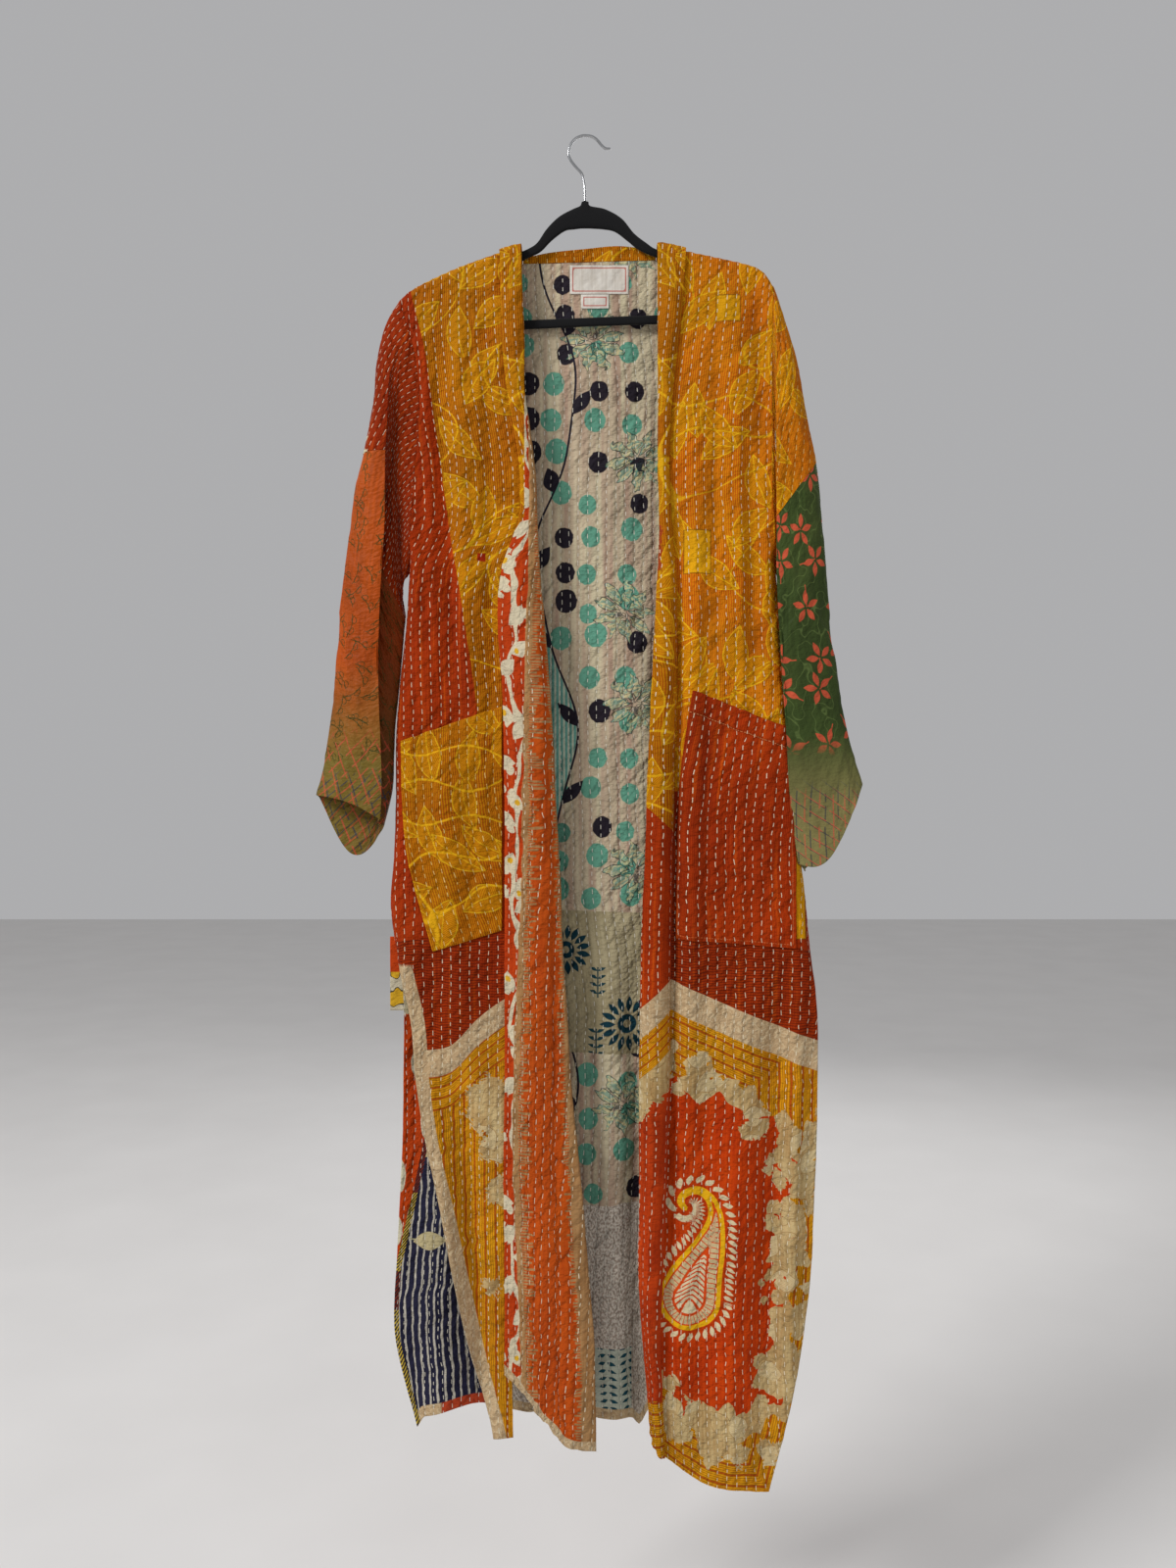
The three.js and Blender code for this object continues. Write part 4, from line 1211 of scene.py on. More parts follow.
    def rosettes(self, shift: float) -> Field:
        """How far serrated leaf rosettes push an edge out or in, at most 15 mm.

        Args:
            shift: Shift that sets one edge's rosettes apart.

        Returns:
            The shift of the edge.
        """
        loom = self.loom
        x, y, luck = loom.scatter(self.u + shift, self.v, 46.0, 0.8)
        x, y = loom.turn(x, y, luck[0] * 6.28)
        leaves = petals(x, y, 5, 0.0, 30.0, 10.0) + self.serration() * 0.35
        return (leaves * 3.0 + 5.0).least(15.0).most(-15.0)

    def ragged(self) -> Field:
        """Cream leaf shapes with brown contour lines and pale veins inside.

        Returns:
            The colour.
        """
        loom, u, v = self.loom, self.u, self.v
        colour = self.plain((190, 166, 118), (166, 134, 86), 26.0)
        x, y, luck = loom.scatter(u, v, 34.0, 0.9)
        x, y = loom.turn(x, y, luck[0] * 6.28)
        leaf = lens(x + 17.0, y, 34.0, 12.0)
        colour = loom.mix(leaf.within(1.0) * (luck[1] - 0.4).within(0.01) * 0.6, colour, (202, 184, 142))
        _, vein = (x * 0.9 + abs(y) * 1.2).repeat(3.1)
        veins = (0.3 - abs(vein)).within(0.5) * leaf.within(1.0) * 0.4
        drawn = (0.45 - abs(leaf)).within(0.5).most(veins)
        return loom.mix(drawn * 0.6, colour, (136, 96, 48))

    def floral(self) -> Field:
        """Orange-red with large cream scrolls and small yellow hearts.

        Returns:
            The colour.
        """
        loom, u, v = self.loom, self.u, self.v
        colour = self.plain((180, 62, 16), (164, 50, 12))
        bend = (loom.noise(u, v, 40.0, 60.0, 1.0) - 0.5) * 30.0
        _, stem = (u + (v / 21.0).apply("SINE") * 6.0 + bend).repeat(34.0)
        shape = 3.0 - abs(stem)
        x, y, luck = loom.scatter(u, v, 34.0, 0.8)
        x, y = loom.turn(x, y, luck[0] * 6.28)
        head = lens(x + 12.0, y + x * x * 0.02, 26.0, 8.5)
        drop = 5.5 - length_of(x - 10.0, y - 5.0)
        shape = shape.most(head).most(drop)
        colour = loom.mix(shape.within(0.8), colour, (198, 186, 158))
        heart = 3.6 - length_of(x + 2.0, y)
        return loom.mix(heart.within(0.7) * (luck[1] - 0.55).within(0.01), colour, (206, 158, 40))

    def lining(self) -> Field:
        """Cream cotton with teal and black dots, a black stem with leaves and drawn flowers.

        Returns:
            The colour.
        """
        loom = self.loom
        x, _, z = loom.place()
        stripes = loom.noise(x, z, 9.0, 400.0, 1.0)
        colour = loom.mix((stripes - 0.5) * 3.0 + 0.5, (192, 180, 150), (166, 140, 120))
        a, b, luck = loom.scatter(x, z, 43.0, 0.5)
        rough = (loom.noise(x, z, 6.0, 6.0, 1.0) - 0.5) * 2.4
        dot = 12.6 + (luck[1] - 0.5) * 3.4 - length_of(a * 1.06, b * 0.96) + rough
        dark = (luck[0] - 0.66).within(0.01)
        dots = dot.within(0.9)
        colour = loom.mix(dots, colour, loom.mix(dark, (92, 146, 124), (36, 31, 38)))
        a, b, luck = loom.scatter(x, z, 150.0, 0.6)
        a, b = loom.turn(a, b, luck[0] * 6.28)
        warp = (loom.noise(a, b, 14.0, 14.0, 1.0) - 0.5) * 18.0
        a, b = a + warp, b - warp * 0.7
        outer, inner = petals(a, b, 9, 6.0, 38.0, 6.0), petals(b, a, 7, 2.0, 22.0, 4.5)
        ripple = loom.noise(a, b, 6.0, 3.0, 1.0)
        petal = outer.within(1.0)
        streaks = loom.mix((ripple - 0.5) * 6.0 + 0.5, (190, 182, 136), (104, 146, 128))
        colour = loom.mix(petal * 0.75, colour, streaks)
        line = (0.45 - abs(outer)).most(0.4 - abs(inner)).within(0.5)
        colour = loom.mix(line * 0.85, colour, (40, 50, 52))
        bend = (z / 64.0).apply("SINE") * 24.0 + (z / 23.0).apply("SINE") * 3.0
        off = x + 36.0 - bend
        beside = (-off - 1.5).within(0.8) * (off + 34.0 + bend * 0.6).within(0.8)
        segment = beside * ((z / 128.0 + 0.6).apply("SINE") - 0.45).within(0.03)
        _, bar = x.repeat(5.2)
        teal = loom.mix((abs(bar) - 1.5).within(0.6), (98, 150, 138), (178, 186, 164))
        colour = loom.mix(segment, colour, teal)
        colour = loom.mix((1.3 - abs(off)).within(0.6), colour, (34, 32, 42))
        row, way = z.repeat(92.0)
        side = (loom.chance(row) - 0.5).apply("SIGN")
        c, d = loom.turn(off * side, way, 1.0)
        leaf = lens(c, d, 34.0, 8.5)
        return loom.mix(leaf.within(0.8), colour, (36, 32, 40))

    def beige_patch(self) -> Field:
        """Beige cotton with dark teal sunflowers and small sprigs.

        Returns:
            The colour.
        """
        loom = self.loom
        x, _, z = loom.place()
        colour = self.plain((168, 156, 124), (150, 138, 106), 40.0)
        heads = (
            (48.5, -1041.0, 33.0),
            (-24.0, -954.0, 30.0),
            (-120.0, -1020.0, 32.0),
            (140.0, -960.0, 31.0),
        )
        for x0, z0, size in heads:
            a, b = x - x0, z - z0
            head = petals(a, b, 15, size * 0.42, size, 3.6).within(0.8)
            ring = (size * 0.1 - abs(length_of(a, b) - size * 0.24)).within(0.8)
            colour = loom.mix(head.most(ring), colour, (20, 52, 62))
        a, b, luck = loom.scatter(x, z + 14.0, 62.0, 0.3)
        _, step = b.repeat(9.0)
        leaves = lens(abs(a), step - abs(a) * 0.6, 12.0, 2.6)
        sprig = leaves.most(0.8 - abs(a)).least(18.0 - abs(b))
        return loom.mix(sprig.within(0.6) * (luck[0] - 0.45).within(0.01), colour, (28, 60, 66))

    def silver(self) -> Field:
        """Silver-grey cloth whose crushed surface is painted as fine light and dark specks: painted glints
        and shade.

        Returns:
            The colour.
        """
        loom = self.loom
        painted_glints = loom.noise(self.u, self.v, 2.2, 3.4, 3.0)
        # Painted glints and shade: fine specks between a dark and a light grey.
        return loom.mix((painted_glints - 0.5) * 5.0 + 0.5, (150, 136, 122), (204, 194, 180))

    def navy_stripes(self) -> Field:
        """Navy with off-white stripes down it and a few cream leaves.

        Returns:
            The colour.
        """
        loom, u, v = self.loom, self.u, self.v
        _, bar = u.repeat(9.2)
        worn = loom.noise(u, v, 3.0, 12.0, 2.0)
        colour = loom.mix((1.2 + (worn - 0.5) * 2.0 - abs(bar)).within(0.7), (34, 34, 54), (176, 170, 156))
        x, y, luck = loom.scatter(u, v, 130.0, 0.5)
        x, y = loom.turn(x, y, luck[0] * 2.0 - 1.6)
        leaf = lens(x + 20.0, y, 42.0, 11.0)
        stalk = (0.9 - abs(y + (x * 0.04) * x * 0.2)).within(0.5) * (44.0 - abs(x)).within(1.0)
        colour = loom.mix(stalk, colour, (158, 152, 120))
        return loom.mix(leaf.within(0.8), colour, (178, 164, 124))

    def cream_ovals(self) -> Field:
        """Orange-red with plain cream ovals.

        Returns:
            The colour.
        """
        loom = self.loom
        x, y, _ = loom.scatter(self.u, self.v * 0.72, 46.0, 0.4)
        oval = 15.0 - length_of(x, y)
        return loom.mix(oval.within(0.8), self.plain((184, 66, 16), (168, 54, 12)), (196, 188, 160))

    def teal_leaves(self) -> Field:
        """Off-white strip with rows of dark teal leaves.

        Returns:
            The colour.
        """
        loom = self.loom
        _, across = self.u.repeat(26.0)
        _, down = self.v.repeat(9.0)
        leaf = lens(abs(across) - 1.0, down - abs(across) * 0.5, 11.0, 2.8)
        return loom.mix(leaf.within(0.6), (170, 176, 160), (24, 66, 78))

    def silk(self, ground: Colour, dip: Colour, start: float, end: float) -> Field:
        """Silk that fades to another colour towards the cuff.

        Args:
            ground: Colour above.
            dip: Colour of the cuff.
            start: Depth at which the fade starts.
            end: Depth at which it ends.

        Returns:
            The colour.
        """
        patches = self.loom.noise(self.u, self.v, 60.0, 90.0, 3.0)
        share = ((-self.loom.place()[2] - start) / (end - start)).least(1.0).most(0.0)
        colour = self.plain(ground, tuple(c * 0.86 for c in ground))
        return self.loom.mix(share + (patches - 0.5) * 0.25, colour, dip)

    def lattice(self, colour: Field, ink: Colour, shift: float, start: float) -> Field:
        """Crossing brush lines near the cuff, over a colour.

        Args:
            colour: Colour below.
            ink: Colour of the lines.
            shift: Shift that sets these lines apart.
            start: Depth at which they start.

        Returns:
            The colour.
        """
        loom = self.loom
        z = loom.place()[2]
        for turn in (0.45, -0.75):
            a, b = loom.turn(self.u + shift, self.v, turn)
            _, line = a.repeat(15.0)
            broken = (loom.noise(a, b, 20.0, 14.0, 1.0) - 0.42).within(0.05)
            near = (-z - start).within(18.0)
            colour = loom.mix((0.7 - abs(line)).within(0.6) * broken * near * 0.8, colour, ink)
        return colour

    def green_silk(self) -> Field:
        """Green silk with coral blossoms, fading to an olive cuff with crossing lines.

        Returns:
            The colour.
        """
        loom, u, v = self.loom, self.u, self.v
        colour = self.silk((60, 76, 34), (126, 118, 72), 700.0, 790.0)
        stem = (0.014 - abs(loom.noise(u, v, 26.0, 26.0, 1.0) - 0.5)).within(0.012)
        above = (loom.place()[2] + 715.0).within(20.0)
        colour = loom.mix(stem * 0.45 * above, colour, (104, 122, 66))
        x, y, luck = loom.scatter(u, v, 50.0, 0.5)
        x, y = loom.turn(x, y, luck[0] * 6.28)
        flower = petals(x, y, 5, 2.5, 20.0, 3.9).within(0.7)
        stalk = (0.7 - abs(y + 1.0)).within(0.5) * (-x).within(0.5) * (26.0 + x).within(0.5)
        colour = loom.mix(flower.most(stalk) * above, colour, (192, 82, 54))
        colour = self.lattice(colour, (60, 62, 66), 0.0, 760.0)
        return self.lattice(colour, (186, 92, 66), 40.0, 770.0)

    def rust_silk(self) -> Field:
        """Rust silk with thin dark green sprays, fading to an olive cuff with crossing lines, and darkened
        to brown in the recess by the body as painted shade.

        Returns:
            The colour.
        """
        loom, u, v = self.loom, self.u, self.v
        colour = self.silk((176, 74, 12), (110, 92, 36), 610.0, 735.0)
        # Painted shade: the silk darkens to brown in the sleeve's recess next to the body, where the shade
        # falls.
        colour = loom.mix(loom.read("recess") * 0.65, colour, (84, 34, 12))
        above = (loom.place()[2] + 735.0).within(20.0)
        for shift in (0.0, 217.0):
            x, y, luck = loom.scatter(u + shift, v, 30.0, 0.7)
            x, y = loom.turn(x, y, luck[0] * 2.6 + 0.3)
            bent = y + x * x * 0.018
            leaf = lens(abs(x) - 2.0, bent - 2.2, 9.0, 3.0)
            stalk = (0.5 - abs(bent)).within(0.5) * (13.0 - abs(x)).within(0.5)
            drawn = ((0.5 - abs(leaf)).within(0.5) * (abs(x) - 2.0).within(0.4)).most(stalk)
            colour = loom.mix(drawn * above * 0.9, colour, (52, 56, 16))
        colour = self.lattice(colour, (52, 54, 66), 0.0, 745.0)
        return self.lattice(colour, (178, 74, 52), 30.0, 700.0)

    def side_floral(self) -> Field:
        """Cream floral scrap with black outlines and an orange top.

        Returns:
            The colour.
        """
        loom = self.loom
        z = loom.place()[2]
        shape = loom.noise(self.u, self.v, 16.0, 20.0, 1.0)
        colour = loom.mix((shape - 0.52).within(0.02), (196, 186, 160), (206, 160, 40))
        colour = loom.mix((0.02 - abs(shape - 0.52)).within(0.015), colour, (36, 34, 40))
        return loom.mix((z + 980.0).within(1.0), colour, (190, 66, 20))


def left_front(prints: Prints) -> Field:
    """Left front: mustard beside the band, orange-red at the side, borders and gold below.

    Args:
        prints: Prints of the piece's own cloth map.

    Returns:
        The colour.
    """
    loom = prints.loom
    split, below, side = (loom.read(name) for name in ("split", "below", "side"))
    x, _, z = loom.place()
    colour = loom.mix(split.within(0.8), prints.orange_red(), prints.mustard())
    darn = (4.6 - abs(x + 121.0)).least(4.6 - abs(z + 496.0))
    colour = loom.mix(darn.within(0.8), colour, (150, 36, 10))
    low = (-z - 925.0 + (x + 120.0) * 0.15).within(2.0)
    colour = loom.mix(low, colour, prints.cross_woven(prints.orange_red()))
    teeth = prints.serration() + (loom.noise(x, z, 14.0, 14.0, 1.0) - 0.5) * 16.0
    patch = 27.0 - length_of(x + 110.0, (z + 1130.0) * 0.75)
    for x0, z0, size in ((-103.0, -1178.0, 20.0), (-98.0, -1228.0, 17.0), (-110.0, -1340.0, 10.0)):
        patch = patch.most(size - length_of(x - x0, z - z0))
    gold = loom.mix((below - 70.0).within(1.0), prints.gold(below), prints.gold(prints.u))
    gold = loom.mix((patch + teeth).within(0.8), gold, prints.ragged())
    lower = loom.mix((below - 31.0).within(0.8), prints.cream_band(), gold)
    colour = loom.mix(below.within(0.8), colour, lower)
    return loom.mix((16.0 - side).within(0.8) * (-z - 968.0).within(4.0), colour, prints.cream_band())


def paisley(prints: Prints, ground: Field) -> Field:
    """A paisley with a feathered rim over a ground colour.

    Args:
        prints: Prints of the piece's own cloth map.
        ground: Colour around it.

    Returns:
        The colour.
    """
    loom = prints.loom
    depth, along, lean = loom.read_parts("paisley")
    _, step = (along + depth * 0.35).repeat(7.4)
    rim = lens(depth - 2.6, step, 11.0, 2.5)
    colour = loom.mix(rim.within(0.6), ground, (206, 190, 152))
    colour = loom.mix((-depth).within(0.6), colour, (196, 66, 16))
    colour = loom.mix((2.6 - abs(depth + 3.0)).within(0.5), colour, (214, 162, 20))
    _, inner = along.repeat(6.2)
    ring = (4.6 - abs(depth + 11.8)).least(abs(inner) - 0.6)
    colour = loom.mix(ring.within(0.6), colour, (188, 168, 126))
    _, chevron = (lean + depth * 0.9).repeat(6.4)
    core = (-depth - 19.5).least(abs(chevron) - 1.2)
    return loom.mix(core.within(0.6), colour, (202, 188, 152))


def bright_mustard(prints: Prints) -> Field:
    """The brighter mustard of the right sleeve."""
    return prints.mustard((204, 134, 10), (180, 76, 8), 1.0)


def right_front(prints: Prints) -> Field:
    """Right front: mustard, then orange-red, a cream and a gold border, and a ragged field.

    Args:
        prints: Prints of the piece's own cloth map.

    Returns:
        The colour.
    """
    loom, u, v = prints.loom, prints.u, prints.v
    split, below, side, hem = (loom.read(name) for name in ("split", "below", "side", "hem"))
    x, _, z = loom.place()
    seam = z + 905.0 + (x - 98.0) * 0.294
    woven = loom.mix((-seam).within(1.5), prints.orange_red(), prints.cross_woven(prints.orange_red()))
    woven = loom.mix((0.8 - abs(seam)).within(0.6) * 0.7, woven, (92, 26, 8))
    colour = loom.mix(split.within(0.8), woven, prints.mustard((204, 130, 10), (180, 76, 8), 1.0))
    patches = ((128.5, -490.0, 15.5, 25.0), (165.0, -206.0, 14.0, 15.5), (246.0, -881.0, 8.5, 56.0))
    for x0, z0, wide, high in patches:
        box = (wide - abs(x - x0)).least(high - abs(z - z0))
        colour = loom.mix(box.within(0.8), colour, prints.plain((212, 154, 16), (198, 136, 10)))
        colour = loom.mix((0.7 - abs(box)).within(0.6) * 0.6, colour, (104, 58, 10))
    lumps = (loom.noise(u, v, 34.0, 34.0, 1.0) - 0.5) * 50.0
    teeth = -prints.rosettes(90.0)
    field = (below - 124.0).least(side - 38.0).least(hem - 84.0) + lumps + teeth
    lobes = (loom.noise(u, v, 30.0, 44.0, 0.0) - 0.5) * 40.0 - prints.rosettes(0.0)
    edge = (below - 92.0).least(side - 9.0).least(hem - 46.0) - lobes
    stripes = below.least(side).least(hem)
    ground = prints.plain((188, 62, 8), (168, 48, 6), 34.0)
    lower = loom.mix(edge.within(0.8), prints.gold(stripes), prints.ragged())
    lower = loom.mix(field.within(0.8), lower, paisley(prints, ground))
    lower = loom.mix((below - 35.0).within(0.8), prints.cream_band(), lower)
    return loom.mix(below.within(0.8), colour, lower)


def right_pocket(prints: Prints) -> Field:
    """Orange-red pocket with a darker strip down its left part and a sewn line under its mouth, with painted
    shade along the crease of that line.

    Args:
        prints: Prints of the piece's own cloth map.

    Returns:
        The colour.
    """
    loom = prints.loom
    mouth, side = loom.read("mouth"), loom.read("side")
    colour = loom.shade(prints.orange_red(), 1.0 - (44.0 - prints.u).within(2.0) * 0.12)
    line = abs(mouth - 25.0)
    # Painted shade: the colour darkens along the crease of the sewn line under the mouth.
    colour = loom.shade(colour, 1.0 - line.bell(1.6) * 0.35)
    _, dash = prints.u.repeat(3.4)
    thread = (0.45 - line).within(0.3) * (1.1 - abs(dash)).within(0.4)
    colour = loom.mix(thread * 0.8, colour, (206, 132, 82))
    sewn = (0.4 - abs(side - 4.0)).within(0.3) * (mouth - 2.0).within(0.5) * (1.1 - abs(dash)).within(0.4)
    return loom.mix(sewn * 0.6, colour, (196, 112, 64))


def ticks(prints: Prints, distance: Field, least: float, most: float) -> Field:
    """Mask of a strip whose edge is frayed into short level lines.

    Args:
        prints: Prints of the piece's own cloth map.
        distance: Distance from the strip's edge.
        least: Length of the shortest line.
        most: Length of the longest line.

    Returns:
        A field above 0 on the strip.
    """
    row, step = prints.v.repeat(3.3)
    reach = prints.loom.chance(row) * (most - least) + least
    return (reach - distance).least(1.1 - abs(step)).most(least * 0.8 - distance)


def left_band(prints: Prints) -> Field:
    """Left band: mustard at the top, then a floral strip beside orange with frayed beige edges.

    Args:
        prints: Prints of the piece's own cloth map.

    Returns:
        The colour.
    """
    loom = prints.loom
    flap, free, hem = (loom.read(name) for name in ("flap", "free", "hem"))
    x, _, z = loom.place()
    colour = prints.plain((188, 80, 20), (170, 66, 16), 50.0)
    beige = prints.plain((168, 128, 84), (150, 108, 66), 20.0)
    colour = loom.mix(ticks(prints, flap, 9.0, 22.0).within(0.6), colour, beige)
    wide = ((-z - 960.0) / 420.0).least(1.0).most(0.0) * 16.0
    colour = loom.mix(ticks(prints, free - wide, 1.0, 9.0).within(0.6), colour, beige)
    colour = loom.mix((-flap).within(0.6), colour, prints.floral())
    slant = z + 455.0 - (x + 75.0) * 1.37
    yellow = (z + 309.0).most(slant.least(-71.0 - x))
    colour = loom.mix(yellow.within(0.8), colour, prints.mustard())
    return loom.mix((12.0 - hem).within(0.8), colour, prints.cream_band())


def right_band(prints: Prints) -> Field:
    """Right band: follows the colours of its front, a little lower at the free edge.

    Args:
        prints: Prints of the piece's own cloth map.

    Returns:
        The colour.
    """
    loom = prints.loom
    free = loom.read("free")
    x, _, z = loom.place()
    colour = loom.mix((z + 790.0 + (x - 76.0) * 0.9).within(0.8), prints.orange_red(), prints.mustard())
    frayed = (loom.noise(x, z, 6.0, 6.0, 1.0) - 0.5) * 5.0
    flap = (3.5 - free).least(26.0 - abs(z + 486.0)) + frayed
    colour = loom.mix(flap.within(0.8), colour, (150, 62, 24))
    below = (x - 61.0) * 0.93 - 1018.0 - z
    teeth = prints.serration() + (loom.noise(x, z, 14.0, 14.0, 1.0) - 0.5) * 16.0
    field = prints.plain((184, 62, 16), (160, 48, 12), 30.0)
    field = loom.mix((-z - 1468.0 + teeth).within(0.8), field, prints.gold(z))
    lower = loom.mix((below - 126.0 + teeth).within(0.8), prints.ragged(), field)
    lower = loom.mix((below - 80.0).within(0.8), prints.gold(below), lower)
    lower = loom.mix((below - 35.0).within(0.8), prints.cream_band(), lower)
    return loom.mix(below.within(0.8), colour, lower)


def oversewn(prints: Prints, colour: Field, edge: Field, low: float) -> Field:
    """An edge oversewn in stretches of yellow and maroon, below a height.

    Args:
        prints: Prints of the piece's own cloth map.
        colour: Colour below.
        edge: Distance from the edge.
        low: Height below which it is oversewn.

    Returns:
        The colour.
    """
    loom = prints.loom
    z = loom.place()[2]
    _, bar = (prints.v * 0.9 + edge * 1.3).repeat(4.4)
    stretch, _ = z.repeat(46.0)
    pale = loom.mix((loom.chance(stretch) - 0.45).within(0.01), (112, 36, 22), (184, 158, 58))
    thread = loom.mix((abs(bar) - 1.2).within(0.6), (44, 34, 36), pale)
    strip = (6.0 - edge).least(edge + 0.5)
    return loom.mix(strip.within(0.6) * (-z + low).within(2.0), colour, thread)


def back_outside(prints: Prints) -> Field:
    """Outside of the back: orange-red and mustard patches, a cream border, ovals below.

    Args:
        prints: Prints of the piece's own cloth map.

    Returns:
        The colour.
    """
    loom = prints.loom
    x, _, z = loom.place()
    colour = loom.mix((x - 60.0).within(0.8), prints.orange_red(), prints.mustard())
    colour = loom.mix((-z - 640.0).within(0.8), colour, prints.orange_red())
    colour = loom.mix((-z - 940.0).within(0.8), colour, prints.cream_ovals())
    border = 17.0 - abs(z + 940.0)
    colour = loom.mix(border.within(0.8) * (x + 170.0).within(0.8), colour, prints.cream_band())
    return oversewn(prints, colour, loom.read("side"), -1300.0)


def back_inside(prints: Prints) -> Field:
    """Inside of the back: dotted cotton with a beige patch, silver cloth, stripes and a hem strip.

    Args:
        prints: Prints of the piece's own cloth map.

    Returns:
        The colour.
    """
    loom = prints.loom
    x, _, z = loom.place()
    low = -z - 1254.0 + (loom.noise(x, z, 30.0, 30.0, 1.0) - 0.5) * 8.0
    colour = loom.mix((84.0 - abs(z + 991.5 + x * 0.03)).within(0.8), prints.lining(), prints.beige_patch())
    colour = loom.mix(low.within(0.8), colour, prints.silver())
    strip = (-z - 1424.0).least(24.0 - abs(x - 30.0))
    colour = loom.mix(strip.within(0.8), colour, prints.teal_leaves())
    stripes = (-92.0 - x).least(-z - 1130.0)
    colour = loom.mix(stripes.within(0.8), colour, prints.navy_stripes())
    hem = loom.mix((30.0 - abs(x + 140.0)).within(0.8), prints.cream_band(), (168, 62, 34))
    colour = loom.mix((12.0 - loom.read("hem")).within(0.8), colour, hem)
    whip = loom.read("whip")
    colour = loom.mix((-whip).within(0.8), colour, prints.cream_ovals())
    return oversewn(prints, colour, whip, -1160.0)


def left_upper_sleeve(prints: Prints) -> Field:
    """Orange-red cotton darkened all over as painted shade, with a few cream leaf ends at the outer edge.

    Args:
        prints: Prints of the piece's own cloth map.

    Returns:
        The colour.
    """
    loom = prints.loom
    x, y, z = loom.place()
    # Painted shade: the whole orange-red is darkened, as this sleeve lies in shade.
    colour = loom.shade(prints.orange_red(), 0.78)
    near = (-y - 4.0).within(1.0)
    for x0, z0, turn in ((-262.0, -338.0, 0.9), (-268.0, -356.0, 0.1), (-262.0, -372.0, -0.7)):
        a, b = loom.turn(x - x0, z - z0, turn)
        colour = loom.mix(lens(a + 8.0, b, 24.0, 6.0).within(0.8) * near, colour, (190, 178, 146))
    return colour


@dataclass(frozen=True)
class Cloth:
    """Finish of a cloth: its print, its surface and its rows of running stitches."""

    name: str
    paint: Callable[[Prints], Field]
    roughness: float = 0.8
    sheen: float = 0.015
    gloss: float = 0.06
    stitched: bool = True
    turn: float = 0.0
    thread: Colour = (236, 224, 196)
    crush: float = 1.0

    def make(self) -> Material:
        """Build the material: print, stains, stitches with painted shade in their grooves, and relief.

        Returns:
            The material.
        """
        loom = Loom(self.name)
        u, v = loom.cloth_map()
        colour = self.paint(Prints(loom, u, v))
        stain = (loom.noise(u, v, 70.0, 90.0, 3.0) - 0.5) * 0.5
        colour = loom.shade(colour, stain + 1.0)
        fine = loom.noise(u, v, 8.0, 4.4, 2.0) * 2.4 * self.crush
        slant = loom.turn(u, v, 0.7)
        broad = loom.noise(slant[0], slant[1], 16.0, 46.0, 2.0) * 6.5 * self.crush
        height = fine + broad + loom.noise(u, v, 1.1, 1.1, 1.0) * 0.12
        if self.stitched:
            a, b = loom.turn(u, v, math.radians(self.turn)) if self.turn else (u, v)
            wander = (loom.noise(a, b, 60.0, 45.0, 1.0) - 0.5) * 5.0
            row, off = (a + wander).repeat(ROW_PITCH)
            step, along = (b + loom.chance(row) * 40.0 + wander * 2.0).repeat(10.0)
            reach = loom.chance(row, step) * 1.0 + 1.9
            thread = (0.4 - abs(off)).within(0.35) * (reach - abs(along)).within(0.6)
            # Painted shade: the colour darkens along the groove of each row of stitches.
            colour = loom.shade(colour, 1.0 - off.bell(1.6) * 0.14)
            colour = loom.mix(thread * 0.8, colour, self.thread)
            height = height - off.bell(1.8) * 0.7 + thread * 0.3
        bump = loom.node("ShaderNodeBump", inputs={"Height": height, "Distance": MM, "Strength": 1.0})
        feed(loom.tree, loom.shader.inputs["Base Color"], colour)
        feed(loom.tree, loom.shader.inputs["Normal"], Field(loom.tree, bump.outputs[0]))
        loom.shader.inputs["Roughness"].default_value = self.roughness
        loom.shader.inputs["Sheen Weight"].default_value = self.sheen
        loom.shader.inputs["Sheen Roughness"].default_value = 0.4
        loom.shader.inputs["Specular IOR Level"].default_value = self.gloss
        return loom.material


@dataclass(frozen=True)
class Velvet:
    """Black flocking: nearly black with a soft sheen and a fine nap."""

    name: str = "black_flock"

    def make(self) -> Material:
        """Build the material.

        Returns:
            The material.
        """
        loom = Loom(self.name)
        x, y, z = loom.place()
        nap = loom.noise(x + y * 0.7, z, 0.8, 0.8, 2.0)
        feed(loom.tree, loom.shader.inputs["Base Color"], loom.mix(nap, (8, 8, 9), (20, 20, 22)))
        bump = loom.node("ShaderNodeBump", inputs={"Height": nap * 0.2, "Distance": MM})
        feed(loom.tree, loom.shader.inputs["Normal"], Field(loom.tree, bump.outputs[0]))
        loom.shader.inputs["Roughness"].default_value = 0.95
        loom.shader.inputs["Sheen Weight"].default_value = 0.08
        loom.shader.inputs["Specular IOR Level"].default_value = 0.2
        return loom.material


@dataclass(frozen=True)
class Wire:
    """Bright plated wire with faint lengthwise wear."""

    name: str = "bright_wire"

    def make(self) -> Material:
        """Build the material.

        Returns:
            The material.
        """
        loom = Loom(self.name)
        x, _, z = loom.place()
        wear = loom.noise(x, z, 3.0, 3.0, 3.0)
        feed(loom.tree, loom.shader.inputs["Base Color"], loom.mix(wear, (196, 198, 200), (150, 150, 152)))
        feed(loom.tree, loom.shader.inputs["Roughness"], wear * 0.2 + 0.12)
        loom.shader.inputs["Metallic"].default_value = 1.0
        return loom.material


def blank_label(prints: Prints) -> Field:
    """White woven tape with a dull red border line and no lettering.

    Args:
        prints: Prints of the piece's own cloth map.

    Returns:
        The colour.
    """
    loom = prints.loom
    edge = loom.read("side")
    colour = prints.plain((216, 210, 200), (200, 192, 180), 12.0)
    return loom.mix((0.7 - abs(edge - 3.4)).within(0.5) * 0.8, colour, (178, 74, 60))


@dataclass(frozen=True)
class Cut:
    """A sheet as it was cut: width, length and area, in millimetres and square millimetres."""

    width: float
    length: float
    area: float


